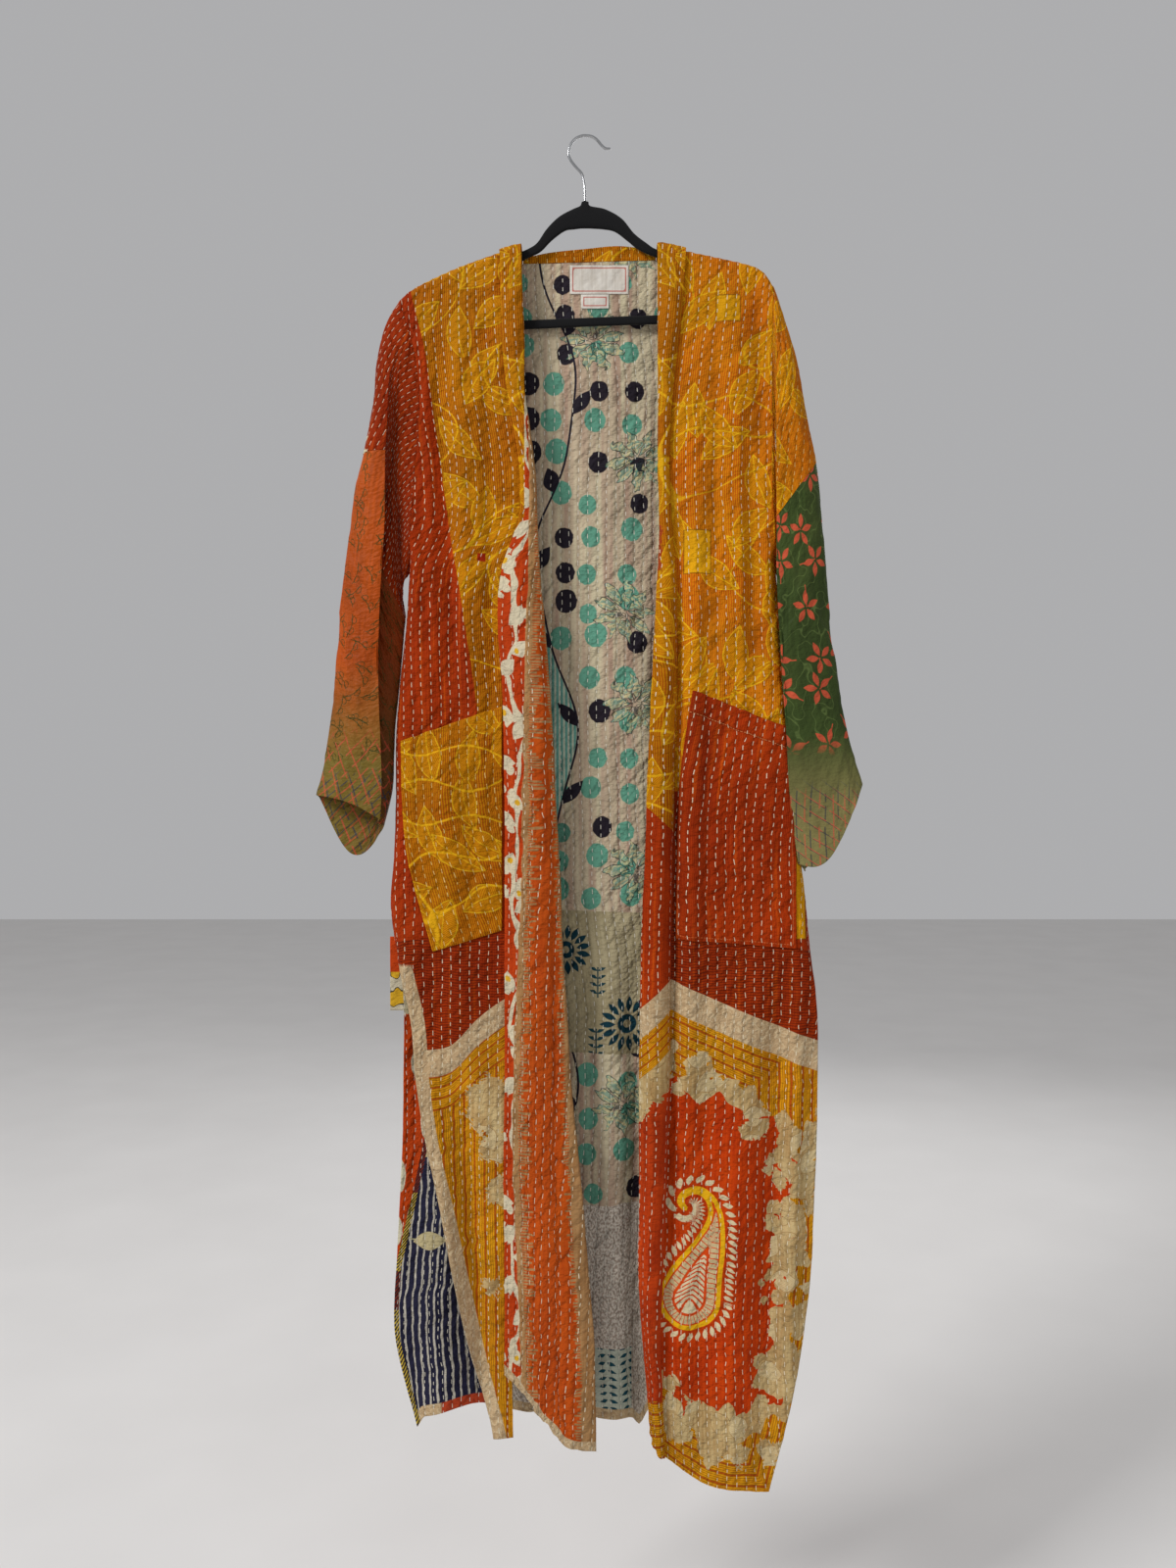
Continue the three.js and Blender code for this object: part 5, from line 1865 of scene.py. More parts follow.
def declare(piece: Piece, node: str) -> None:
    """Args:
        piece: The piece.
        node: The CAD node that it stands for.
    """
    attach(piece, "root")
    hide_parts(node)
    mesh = piece.data
    areas = np.empty(len(mesh.polygons))
    mesh.polygons.foreach_get("area", areas)
    log.info("%s: %d faces, cloth area %.5f m2", piece.name, len(mesh.polygons), areas.sum() / 2)
    if mesh.uv_layers:
        places = np.empty(len(mesh.loops) * 2)
        mesh.uv_layers["cloth"].data.foreach_get("uv", places)
        log.info("  lengths across and down: %s m", np.ptp(places.reshape(-1, 2), axis=0).round(4))


def drops_of(top: Array, hem: Array, spacing: float) -> Array:
    """Heights down each column, closer together over the shoulder and at the hem.

    Args:
        top: Height of the top of each column.
        hem: Height of the hem of each column.
        spacing: Distance between two rows.

    Returns:
        Heights in rows, with a column for each place across.
    """
    angles = np.linspace(0, math.pi / 2, 9)
    rounding = SHOULDER_ROUND * (1 - np.cos(angles))
    rows = [top - drop for drop in rounding]
    count = int((np.max(top) - SHOULDER_ROUND - UNDERARM) / spacing)
    rows += [lerp(top - SHOULDER_ROUND, UNDERARM, t) for t in np.linspace(0, 1, count + 1)[1:]]
    count = int((UNDERARM - np.min(hem)) / spacing)
    rows += [lerp(UNDERARM, hem + 3.0, t) for t in np.linspace(0, 1, count + 1)[1:]]
    rows += [hem + rest for rest in (1.6, 0.8, 0.3, 0.0)]
    return np.array(rows)


def flatten(normals: Array, where: tuple, axis: int) -> None:
    """Keep chosen normals in the plane of their seam.

    Args:
        normals: Unit normals, changed in place.
        where: Rows and columns of the chosen points.
        axis: The axis across that plane.
    """
    chosen = normals[where]
    chosen[..., axis] = 0
    normals[where] = chosen / np.maximum(np.linalg.norm(chosen, axis=-1, keepdims=True), 1e-9)


def fit_side(surface: Surface, normals: Array, column: int) -> None:
    """Flatten a side edge: across the seam where it is closed, along the plane where open.

    Args:
        surface: The panel's surface.
        normals: Unit normals, changed in place.
        column: Number of the side edge's column.
    """
    z = surface.points[:, column, 2]
    seam = (z < UNDERARM + 1) & (z > SLIT_OPEN)
    flatten(normals, (np.nonzero(seam)[0], column), 1)
    flatten(normals, (np.nonzero(~seam)[0], column), 0)


def soft_edge(distance: Array, radius: float = 1.0) -> Array:
    """Share of the full thickness near a free edge, which is rounded."""
    return 0.12 + 0.88 * round_off(distance / radius)


def rib_height(across: Array, down: Array, seed: int) -> Array:
    """Raised rows between lines of stitches, puckered along their length."""
    rows = 0.26 - 0.26 * np.cos(2 * math.pi * (across / ROW_PITCH - 0.5) + math.pi)
    return rows + 0.22 * value_noise(across, down, 5.0, seed)


@dataclass
class BodyPanels:
    """The two fronts and the back, cut as panels that hang from the shoulders."""

    spacing: float = 3.4
    back_spacing: float = 4.3
    thickness: float = 1.6

    def wall(
        self,
        name: str,
        surface: Surface,
        face: Face,
        origin: int,
        free: Array,
        cloths: Cloths,
        fields: dict,
        shoulder: Array,
    ) -> Piece:
        """Build one panel's wall with flattened seams and soft free edges.

        Args:
            name: Name of the piece.
            surface: The panel's surface.
            face: Front or back.
            origin: Column from which lengths across are counted.
            free: Distance from the nearest free edge.
            cloths: Outer and inner material.
            fields: Numbers kept at each point for the prints.
            shoulder: Share of each column's top that lies in the shoulder line.

        Returns:
            The piece.
        """
        normals = surface.normals(surface.facing(face))
        normals[0, :, 1] *= 1 - shoulder
        normals[0] /= np.maximum(np.linalg.norm(normals[0], axis=-1, keepdims=True), 1e-9)
        if name != "front_right_cloth":
            fit_side(surface, normals, 0)
        if name != "front_left_cloth":
            fit_side(surface, normals, surface.points.shape[1] - 1)
        lengths = surface.lengths(origin)
        share = soft_edge(free)
        ribs = rib_height(lengths[0], lengths[1], 11)
        middle = -self.thickness / 2
        outer = middle + (self.thickness / 2 + ribs) * share
        inner = middle - self.thickness / 2 * share
        return cloth_wall(name, surface, normals, (inner, outer), lengths, cloths, fields)

    def front(self, hand: Hand, cloths: Cloths) -> Piece:
        """One front, from its side edge to under its neckband.

        Args:
            hand: Left or right.
            cloths: Outer and inner material.

        Returns:
            The piece.
        """
        left = hand is Hand.LEFT
        inwards = 1 if left else -1
        hem_line = HEMS["front_" + hand.value]

        def seam_at(z: Array) -> Array:
            """Edge under the band."""
            return OUTLINE.at("z", hand.value + "_seam", z) + inwards * MARGIN

        rounding = SIDE_ROUND * (1 - np.cos(np.linspace(0, math.pi / 2, 9)))
        count = int(150 / self.spacing)
        shares = np.linspace(0, 1, count + 1)[1:]

        def place_at(z: Array) -> Array:
            """Places across for heights given in columns.

            Args:
                z: Heights, in columns.

            Returns:
                Places across, in columns.
            """
            side = side_edge(Face.FRONT, hand, z)
            near = side[..., : len(rounding)] + inwards * rounding
            rest = side[..., len(rounding) :] + inwards * SIDE_ROUND
            return np.concatenate([near, lerp(rest, seam_at(z[..., len(rounding) :]), shares)], axis=-1)

        columns = len(rounding) + len(shares)
        top = ridge(place_at(np.full(columns, TOP_LEVEL)))
        hem = hem_line.at("x", "z", place_at(np.full(columns, LOW_LEVEL)))
        z = drops_of(top, hem, self.spacing)
        x = place_at(z)
        if not left:
            x, z, hem = x[:, ::-1], z[:, ::-1], hem[::-1]
        surface = Surface(body_point(Face.FRONT, x, z, False))
        side = np.abs(x - side_edge(Face.FRONT, hand, z))
        free = np.minimum(z - hem, side + 200 * (1 - slit_share(z)))
        if left:
            split = x - SPLIT_LEFT.at("z", "x", z) - 400 * smooth((-z - 690) / 20)
            below = CREAM_LEFT.at("x", "z", x) - z
        else:
            split = z + 766 + (x - 98) * 0.05
            below = CREAM_RIGHT.at("x", "z", x) - z
        fields = {"split": split, "below": below, "side": side, "hem": z - hem}
        if not left:
            fields["paisley"] = Paisley().fields(x, z)
        origin = columns - 1 if left else 0
        name = f"front_{hand.value}_cloth"
        return self.wall(name, surface, Face.FRONT, origin, free, cloths, fields, np.ones(columns))

    def back(self, cloths: Cloths) -> Piece:
        """The back, in one piece from side to side, cut lower across the neck.

        Args:
            cloths: Outer and inner material.

        Returns:
            The piece.
        """
        rounding = SIDE_ROUND * (1 - np.cos(np.linspace(0, math.pi / 2, 8)))
        count = int(458 / self.back_spacing)
        shares = np.linspace(0, 1, count + 1)[1:-1]

        def place_at(z: Array) -> Array:
            """Places across for heights given in columns.

            Args:
                z: Heights, in columns.

            Returns:
                Places across, in columns.
            """
            left = side_edge(Face.BACK, Hand.LEFT, z)
            right = side_edge(Face.BACK, Hand.RIGHT, z)
            ends = len(rounding)
            near = left[..., :ends] + rounding
            far = right[..., -ends:] - rounding[::-1]
            middle = lerp(left[..., ends:-ends] + SIDE_ROUND, right[..., ends:-ends] - SIDE_ROUND, shares)
            return np.concatenate([near, middle, far], axis=-1)

        columns = 2 * len(rounding) + len(shares)
        across = place_at(np.full(columns, TOP_LEVEL))
        top = lerp(ridge(across), NECK.at("x", "seam", across), neck_share(across))
        hem = HEMS["back"].at("x", "z", place_at(np.full(columns, LOW_LEVEL)))
        z = drops_of(top, hem, self.back_spacing)
        x = place_at(z)
        surface = Surface(body_point(Face.BACK, x, z, False))
        side = np.minimum(x - side_edge(Face.BACK, Hand.LEFT, z), side_edge(Face.BACK, Hand.RIGHT, z) - x)
        free = np.minimum(z - hem, side + 200 * (1 - slit_share(z)))
        turned = x - WHIP_LINE.at("z", "x", z)
        whip = np.where((z > -1335) & (x < 0) & (z < -1030), np.minimum(turned, side + 14), side)
        fields = {"side": side, "hem": z - hem, "whip": whip}
        shoulder = 1 - neck_share(across)
        return self.wall("back_cloth", surface, Face.BACK, columns // 2, free, cloths, fields, shoulder)


SPLIT_LEFT = Table(
    "z x",
    (-150, -207),
    (-188, -203),
    (-251, -188),
    (-339, -176),
    (-425, -164),
    (-486, -155),
    (-527, -147),
    (-649, -129),
    (-720, -121),
)
WHIP_LINE = Table("z x", (-1030, -176), (-1110, -181), (-1179, -191), (-1254, -208), (-1335, -226))
CREAM_LEFT = Table(
    "x z",
    (-215, -1067),
    (-188, -1066),
    (-156, -1060),
    (-125, -1029),
    (-92, -1005),
    (-60, -990),
)
CREAM_RIGHT = Table("x z", (80, -975), (96, -983), (184, -1022), (261, -1052), (290, -1062))
FLAP = Table(
    "z x",
    (-300, -69),
    (-371, -66),
    (-456, -66),
    (-536, -67),
    (-646, -69),
    (-758, -72),
    (-870, -74),
    (-983, -80),
    (-1095, -84),
    (-1207, -84),
    (-1320, -79),
    (-1437, -75),
    (-1520, -70),
)


@dataclass
class Paisley:
    """A teardrop with a curled tip, as circles along a bent spine."""

    centre: tuple[float, float] = (128.0, -1303.0)

    def fields(self, x: Array, z: Array) -> Array:
        """Outline fields of the teardrop.

        Args:
            x: Place across.
            z: Height.

        Returns:
            Distance outside the outline, length along it from its lowest point, and height.
            The distance is the least distance to any circle's centre less its radius.
        """
        spine = Table(
            "t x z r",
            (0, -9, -50, 36),
            (1, 1, -20, 28),
            (2, 13, 8, 19),
            (3, 20, 32, 12),
            (4, 21, 52, 8),
            (5, 14, 68, 6),
            (6, 0, 76, 5),
            (7, -14, 72, 4.5),
            (8, -19, 62, 4),
            (9, -14, 56, 4),
        )
        t = np.linspace(0, 9, 240)
        centre = np.stack([spine.at("t", "x", t), spine.at("t", "z", t)], axis=-1)
        radius = spine.at("t", "r", t)
        run = np.concatenate([[0], np.cumsum(np.linalg.norm(np.diff(centre, axis=0), axis=-1))])
        way = np.gradient(centre, axis=0)
        out = np.full(x.shape + (3,), 200.0)
        px, pz = x - self.centre[0], z - self.centre[1]
        near = (np.abs(px) < 75) & (np.abs(pz) < 125)
        points = np.stack([px[near], pz[near]], axis=-1)
        gap = np.linalg.norm(points[:, None] - centre, axis=-1) - radius
        best = np.argmin(gap, axis=1)
        offset = points - centre[best]
        hand = np.sign(way[best, 0] * offset[:, 1] - way[best, 1] * offset[:, 0])
        low = np.arctan2(offset[:, 0], -offset[:, 1]) * radius[0]
        along = np.where(best == 0, low, -hand * (run[best] + radius[0] * 1.9))
        out[near] = np.stack([gap[np.arange(len(best)), best], along, points[:, 1]], axis=-1)
        return out


@dataclass
class Neckband:
    """The band of the neck: two long pieces down the fronts and a short one behind the neck."""

    thickness: float = 2.6
    spacing: float = 3.3

    def front(self, hand: Hand, cells: int, share: float, most: float, cloths: Cloths) -> Piece:
        """One long piece, from behind the neck over the shoulder to the hem.

        Args:
            hand: Left or right.
            cells: Columns across the band.
            share: Height of its roll as a share of its width.
            most: Greatest height of its roll.
            cloths: Outer and inner material.

        Returns:
            The piece.
        """
        way = np.linspace(0, 1, cells + 1)
        way = np.concatenate([way[:-1], lerp(way[-2], 1, np.array([0.5, 0.8, 0.93, 1.0]))])

        def place_at(z: Array) -> Array:
            """Places across for heights given in columns."""
            seam = OUTLINE.at("z", hand.value + "_seam", z)
            return lerp(seam, OUTLINE.at("z", hand.value + "_free", z), way)

        columns = len(way)
        across = place_at(np.full(columns, TOP_LEVEL))
        hem = HEMS["band_" + hand.value].at("x", "z", place_at(np.full(columns, LOW_LEVEL)))
        z = drops_of(ridge(across), hem, self.spacing)
        behind = ridge(across) - np.array([22, 19, 16, 13, 10, 7.6, 5.4, 3.6, 2.2, 1.2, 0.5])[:, None]
        front = body_point(Face.FRONT, place_at(z), z)
        front[0, :, 1] = 0
        back = body_point(Face.BACK, np.broadcast_to(across, behind.shape), behind)
        surface = Surface(np.concatenate([back, front]))
        points = surface.points
        normals = surface.normals(float(np.sign(-surface.normals(1.0)[200, columns // 2, 1])))
        width = np.abs(points[:, -1:, 0] - points[:, :1, 0])
        below = smooth((ridge(points[:, :1, 0]) - points[..., 2] - 10) / 60)
        roll = np.minimum(width * share, most) * below * np.sin(math.pi * way)
        lengths = surface.lengths(0)
        hems = np.concatenate([np.full(behind.shape, 999.0), z - hem])
        edge = soft_edge(np.minimum(hems, np.abs(points[:, -1:, 0] - points[..., 0])), 1.3)
        base = LIFT + RIB + roll
        free = np.abs(points[:, -1:, 0] - points[..., 0])
        flap = points[..., 0] - FLAP.at("z", "x", points[..., 2])
        ribs = rib_height(lengths[0], lengths[1], 23)
        if hand is Hand.LEFT:
            ribs = ribs + 0.9 * smooth(flap / 2.5) * below
        middle = base + self.thickness / 2
        outer = middle + (self.thickness / 2 + ribs) * edge
        inner = middle - self.thickness / 2 * edge
        fields = {"free": free, "flap": flap, "hem": hems, "side": lengths[0]}
        name = f"neckband_{hand.value}_cloth"
        return cloth_wall(name, surface, normals, (inner, outer), lengths, cloths, fields)

    def behind(self, cloths: Cloths) -> Piece:
        """The short piece that stands on the back's neck edge.

        Args:
            cloths: Outer and inner material.

        Returns:
            The piece.
        """
        x = np.linspace(-74.2, 82.2, 70)
        low = NECK.at("x", "seam", x) + SEAM
        share = np.array([0, 0.02, 0.06, 0.14, 0.26, 0.4, 0.55, 0.7, 0.85, 1.0])[:, None]
        z = lerp(NECK.at("x", "top", x), low, share)
        y = np.broadcast_to(SEAM / 2 + DEPTHS.at("z", "back", low), z.shape)
        surface = Surface(np.stack([np.broadcast_to(x, z.shape), y, z], axis=-1))
        lengths = surface.lengths(0)
        edge = soft_edge(NECK.at("x", "top", x) - z, 1.2)
        thickness = 2.2
        outer = -thickness / 2 + (thickness / 2 + 0.2) * edge
        inner = -thickness / 2 - thickness / 2 * edge
        normals = surface.normals(surface.facing(Face.BACK))
        return cloth_wall("neckband_back_cloth", surface, normals, (inner, outer), lengths, cloths)


SLEEVE_NAMES = "ox oz fx fz gx gz ix iz front recess back drop front_drop"
SLEEVES = {
    Hand.LEFT: (
        (-234, -220, -217, -253, -217, -335, -214, -522, 15, 12, 11, 0, 0),
        (-245, -264, -227, -286, -226, -370, -215, -536, 19, 11, 12, 0, 0),
        (-249, -310, -229, -324, -233, -430, -216, -549, 22, 9, 12, 0, 0),
        (-261, -373, -231, -373, -241, -500, -212, -563, 24, 8, 13, 0, 0),
        (-271, -415, -232, -416, -244, -520, -213, -576, 24, 8, 13, 0, 0),
        (-277, -465, -233, -474, -245, -545, -214.5, -595, 24, 8, 13, 0, 0),
        (-285, -528, -237, -536, -246, -585, -217, -622, 24, 8, 13, 0, 0),
        (-292, -591, -239, -598, -247, -627, -220, -655, 24, 8, 13, 4, 0),
        (-297, -649, -239, -654, -246, -668, -223.5, -688, 23, 8, 13, 12, 0),
        (-303, -700, -237, -711, -244, -717, -225, -722, 22, 8, 13, 25, 0),
        (-308, -743, -236, -758, -242, -763, -227, -764, 20, 8, 13, 38, 0),
        (-315, -771, -238, -799, -243, -803, -237, -806, 18, 8, 14, 52, -6),
    ),
    Hand.RIGHT: (
        (228, -201, 220, -240, 220, -320, 226, -522, 15, 11, 11, 0, 0),
        (239, -235, 220, -279, 222, -390, 228, -536, 18, 10, 12, 0, 0),
        (248, -266, 220, -318, 224, -430, 229, -553, 20, 9, 12, 0, 0),
        (259, -327, 220, -374, 224, -470, 229, -567, 22, 9, 13, 0, 0),
        (270, -381, 220, -449, 225, -520, 230.5, -582, 23, 9, 13, 0, 0),
        (276, -440, 219, -499, 226, -556, 232.5, -608, 24, 9, 13, 0, 0),
        (281, -505, 221, -555, 229, -596, 234.5, -637, 24, 9, 13, 0, 0),
        (286, -568, 224, -606, 232, -636, 237, -666, 24, 9, 13, 0, 0),
        (293, -608, 227, -651, 235, -673, 239, -695, 23, 9, 13, 0, 0),
        (300, -654, 231, -702, 239, -716, 242, -731, 22, 9, 13, 4, 6),
        (311, -712, 235, -769, 243, -780, 247.5, -793, 20, 9, 13, 10, 20),
        (323, -758, 245, -850, 252, -856, 256, -860, 18, 9, 14, 16, 38),
    ),
}
LEFT_SEAM_RING, RIGHT_SEAM_RING = 4, 5  # rings where the upper and the lower sleeve meet
ARMHOLE_STEPS = (0, 0.004, 0.018, 0.038, 0.085, 0.16, 0.27, 0.42, 0.6, 0.8, 1)
FRONT_SHARES = (0, 0.35, 0.65, 0.86, 0.97, 1)
BACK_SHARES = (0, 0.03, 0.13, 0.28, 0.42, 0.56, 0.7, 0.83, 0.93, 0.985, 1)
RECESS_END, FRONT_FOLD, OUTER_EDGE, WHOLE_RING = 3, 5, 10, 20  # places round a sleeve's ring
RING_SAMPLES = (8, 6, 6, 5, 5, 9, 8, 7, 6, 5, 5, 6, 8, 8, 8, 8, 8, 7, 6, 6)


@dataclass
class Sleeves:
    """The sleeves: a quilted upper part and a silk lower part, as tubes of rings."""

    rows_per_ring: int = 13
    quilt: float = 1.6
    silk: float = 0.9

    @staticmethod
    def places() -> Array:
        """Places round a ring, from 0 at the inner edge over 10 at the outer edge to 20."""
        return np.concatenate([k + np.arange(n) / n for k, n in enumerate(RING_SAMPLES)])

    def ring(self, row: dict[str, float], place: Array) -> Array:
        """One ring: inner edge, recess, front fold, elliptic front, rounded back.

        Args:
            row: Sizes of the ring.
            place: Places round the ring.

        Returns:
            Points round the ring.
        """
        recess = np.clip(place / RECESS_END, 0, 1)
        fold = np.clip((place - RECESS_END) / (FRONT_FOLD - RECESS_END), 0, 1)
        front = np.interp(place - FRONT_FOLD, np.arange(len(FRONT_SHARES)), FRONT_SHARES)
        back = np.interp(place - OUTER_EDGE, np.arange(len(BACK_SHARES)), BACK_SHARES)
        zones = [place < RECESS_END, place < FRONT_FOLD, place < OUTER_EDGE]

        def run(axis: str) -> Array:
            """Place along one axis.

            Args:
                axis: x or z.

            Returns:
                The place on the axis.
            """
            i, g, f, o = (row[name + axis] for name in "igfo")
            runs = [lerp(i, g, recess), lerp(g, f, fold), lerp(f, o, front)]
            return np.select(zones, runs, lerp(o, i, back))

        depths = [
            -row["recess"] * round_off(recess),
            -lerp(row["recess"], row["front"], smooth(fold)),
            -row["front"] * np.sqrt(np.maximum(1 - front**2, 0)),
        ]
        y = np.select(zones, depths, row["back"] * np.maximum(1 - np.abs(2 * back - 1) ** 4, 0) ** 0.25)
        z = run("z") - np.where(place > OUTER_EDGE, row["drop"] * np.sin(math.pi * back), 0)
        in_front = (place >= FRONT_FOLD) & (place <= OUTER_EDGE)
        z = z - np.where(in_front, row["front_drop"] * np.sin(math.pi * front), 0)
        return np.stack([run("x"), y, z], axis=-1)

    def armhole(self, hand: Hand, place: Array) -> Array:
        """The first ring, level with the edges of the front and the back.

        Args:
            hand: Left or right.
            place: Places round the ring.

        Returns:
            Points round the ring.
        """
        shoulder = float(ridge(-217.0 if hand is Hand.LEFT else 218.0))
        share = np.interp(np.abs(place - OUTER_EDGE), np.arange(len(ARMHOLE_STEPS)), ARMHOLE_STEPS)
        z = lerp(shoulder, UNDERARM, share)
        front = body_point(Face.FRONT, side_edge(Face.FRONT, hand, z), z)
        back = body_point(Face.BACK, side_edge(Face.BACK, hand, z), z)
        made = np.where((place < OUTER_EDGE)[:, None], front, back)
        made[(place == 0) | (place == OUTER_EDGE), 1] = 0
        made[:, 0] += -SEAM if hand is Hand.LEFT else SEAM
        return made

    def grid(self, hand: Hand) -> tuple[Array, Array]:
        """All rings of a sleeve, and the ring number of each row of the grid.

        Args:
            hand: Left or right.

        Returns:
            The points, and the numbers.
        """
        place = self.places()
        rows = [dict(zip(SLEEVE_NAMES.split(), row)) for row in SLEEVES[hand]]
        rings = np.array([self.armhole(hand, place), *[self.ring(row, place) for row in rows]])
        last = len(rings) - 1
        number = np.linspace(0, last, last * self.rows_per_ring + 1)
        number = np.sort(np.concatenate([number, last - np.array([0.004, 0.012, 0.03])]))
        start = np.minimum(number.astype(int), last - 1)
        t = (number - start)[:, None, None]
        before, after = np.maximum(start - 1, 0), np.minimum(start + 2, last)
        leave = (rings[start + 1] - rings[before]) / 2
        arrive = (rings[after] - rings[start]) / 2
        made = lerp(rings[start], rings[start + 1], t * t * (3 - 2 * t))
        return made + leave * t * (1 - t) ** 2 + arrive * t * t * (t - 1), number

    def build(self, hand: Hand, seam: int, upper: Cloths, lower: Cloths) -> list[Piece]:
        """Both parts of one sleeve.

        Args:
            hand: Left or right.
            seam: Number of the ring where they meet.
            upper: Outer and inner material of the upper part.
            lower: Outer and inner material of the lower part.

        Returns:
            The upper and the lower part.
        """
        points, number = self.grid(hand)
        surface = Surface(points, ring=True)
        outwards = 1.0 if hand is Hand.LEFT else -1.0
        normals = surface.normals(outwards)
        flatten(normals, (0, slice(None)), 0)
        across, down = surface.lengths(sum(RING_SAMPLES[:OUTER_EDGE]))
        place = self.places()
        shy = smooth(np.minimum(place, WHOLE_RING - place) / 3)[None, :]
        grown = smooth(number / 2)[:, None]
        u, v = across[:, :-1], down[:, :-1]
        folds = value_noise(u, v * 0.3, 26.0, 5) * 1.4 * shy * grown
        split = int(np.argmin(np.abs(number - seam)))
        ribs = rib_height(u, v, 31)
        first = Surface(points[: split + 1], True)
        made = cloth_wall(
            f"sleeve_upper_{hand.value}_cloth",
            first,
            normals[: split + 1],
            ((folds - self.quilt)[: split + 1], (folds + ribs)[: split + 1]),
            (across[: split + 1], down[: split + 1]),
            upper,
        )
        crush = value_noise(u * 1.2, v * 0.6, 17.0, 8) * 1.3 + value_noise(u, v, 8.0, 9) * 0.5
        hang = (folds + crush * smooth(number - seam)[:, None] * shy)[split:]
        low = points[split:].copy()
        low[0] = lerp(low[0], low[1], 0.12)
        edge = soft_edge(down[-1:, :-1] - v[split:], 0.7)
        middle = hang - self.silk / 2
        second = Surface(low, True)
        # Share of the ring in the recess by the body, kept for the painted shade of the rust silk.
        inside = np.broadcast_to(1 - smooth((place - 3.0) / 1.6), low.shape[:2])
        return [
            made,
            cloth_wall(
                f"sleeve_lower_{hand.value}_cloth",
                second,
                normals[split:],
                (middle - self.silk / 2 * edge, middle + self.silk / 2 * edge),
                (across[split:], down[split:]),
                lower,
                {"recess": inside},
            ),
        ]


POCKETS = {
    Hand.LEFT: Table(
        "share x0 z0 x1 z1",
        (0, -214, -708, -97, -668),
        (0.33, -211, -800, -97, -757),
        (0.6, -203, -860, -97, -830),
        (1, -177, -951, -97, -927),
    ),
    Hand.RIGHT: Table(
        "share x0 z0 x1 z1",
        (0, 123, -650, 232, -692),
        (0.33, 111, -742, 238, -775),
        (0.6, 107, -815, 242, -845),
        (1, 105, -937, 243, -948),
    ),
}


@dataclass
class SmallPieces:
    """The pockets, the tie at the left slit, the label and its tag."""

    thickness: float = 1.5

    def pocket(self, hand: Hand, cloths: Cloths) -> Piece:
        """A patch pocket on a front, standing off a little at its mouth.

        Args:
            hand: Left or right.
            cloths: Outer and inner material.

        Returns:
            The piece.
        """
        table = POCKETS[hand]
        down = np.concatenate([[0, 0.001, 0.004, 0.01], np.linspace(0, 1, 84)[1:]])[:, None]
        way = np.concatenate([[0, 0.004, 0.012], np.linspace(0, 1, 40)[1:-1], [0.988, 0.996, 1]])[None, :]
        x = lerp(table.at("share", "x0", down), table.at("share", "x1", down), way)
        z = lerp(table.at("share", "z0", down), table.at("share", "z1", down), way)
        surface = Surface(body_point(Face.FRONT, x, z))
        lengths = surface.lengths(0)
        bow = np.sin(math.pi * way)
        inside = np.minimum(1, 3 * bow * (1 - down))
        lift = lerp(0.9, 2.0, inside) + 0.2 + 3.0 * (1 - down) ** 2 * bow
        wide = (lengths[0][:, -1:] - lengths[0]) * np.ones_like(x)
        rest = lengths[1][-1:] - lengths[1]
        sewn = np.minimum(np.minimum(lengths[0], wide), rest)
        edge = soft_edge(np.minimum(sewn, lengths[1] - lengths[1][:1]), 1.0)
        ribs = rib_height(lengths[0], lengths[1], 41) - 0.45 * np.exp(-(((sewn - 4.0) / 1.2) ** 2))
        middle = lift + self.thickness / 2
        offsets = (middle - self.thickness / 2 * edge, middle + (self.thickness / 2 + ribs) * edge)
        normals = surface.normals(surface.facing(Face.FRONT))
        fields = {"side": sewn, "mouth": lengths[1] - lengths[1][:1]}
        return cloth_wall(f"pocket_{hand.value}_cloth", surface, normals, offsets, lengths, cloths, fields)

    def patch(self, name: str, box: Sequence[float], face: float, thick: float, cloths: Cloths) -> Piece:
        """A flat piece sewn on the back.

        Args:
            name: Name of the piece.
            box: Left, right, top and bottom.
            face: Side of the back that it lies on: -1 inside, 1 outside.
            thick: Its thickness.
            cloths: Outer and inner material.

        Returns:
            The piece.
        """
        left, right, top, bottom = box
        way = np.concatenate([[0, 0.01, 0.03], np.linspace(0, 1, 22)[1:-1], [0.97, 0.99, 1]])
        x, z = np.meshgrid(lerp(left, right, way), lerp(top, bottom, way))
        inside = np.maximum(x, side_edge(Face.BACK, Hand.LEFT, z) + SIDE_ROUND)
        points = body_point(Face.BACK, inside, z, False)
        points[..., 0] = x
        surface = Surface(points)
        near = -1.9 if face < 0 else LIFT + RIB
        edge = np.minimum(np.minimum(x - left, right - x), np.minimum(top - z, z - bottom))
        puff = value_noise(x, z, 14.0, 3) * 0.35 * smooth(edge / 6)
        share = soft_edge(edge, 0.5)
        middle = near + face * thick / 2 + puff
        offsets = (middle - thick / 2 * share, middle + thick / 2 * share)
        normals = surface.normals(surface.facing(Face.BACK))
        return cloth_wall(name, surface, normals, offsets, surface.lengths(0), cloths, {"side": edge})


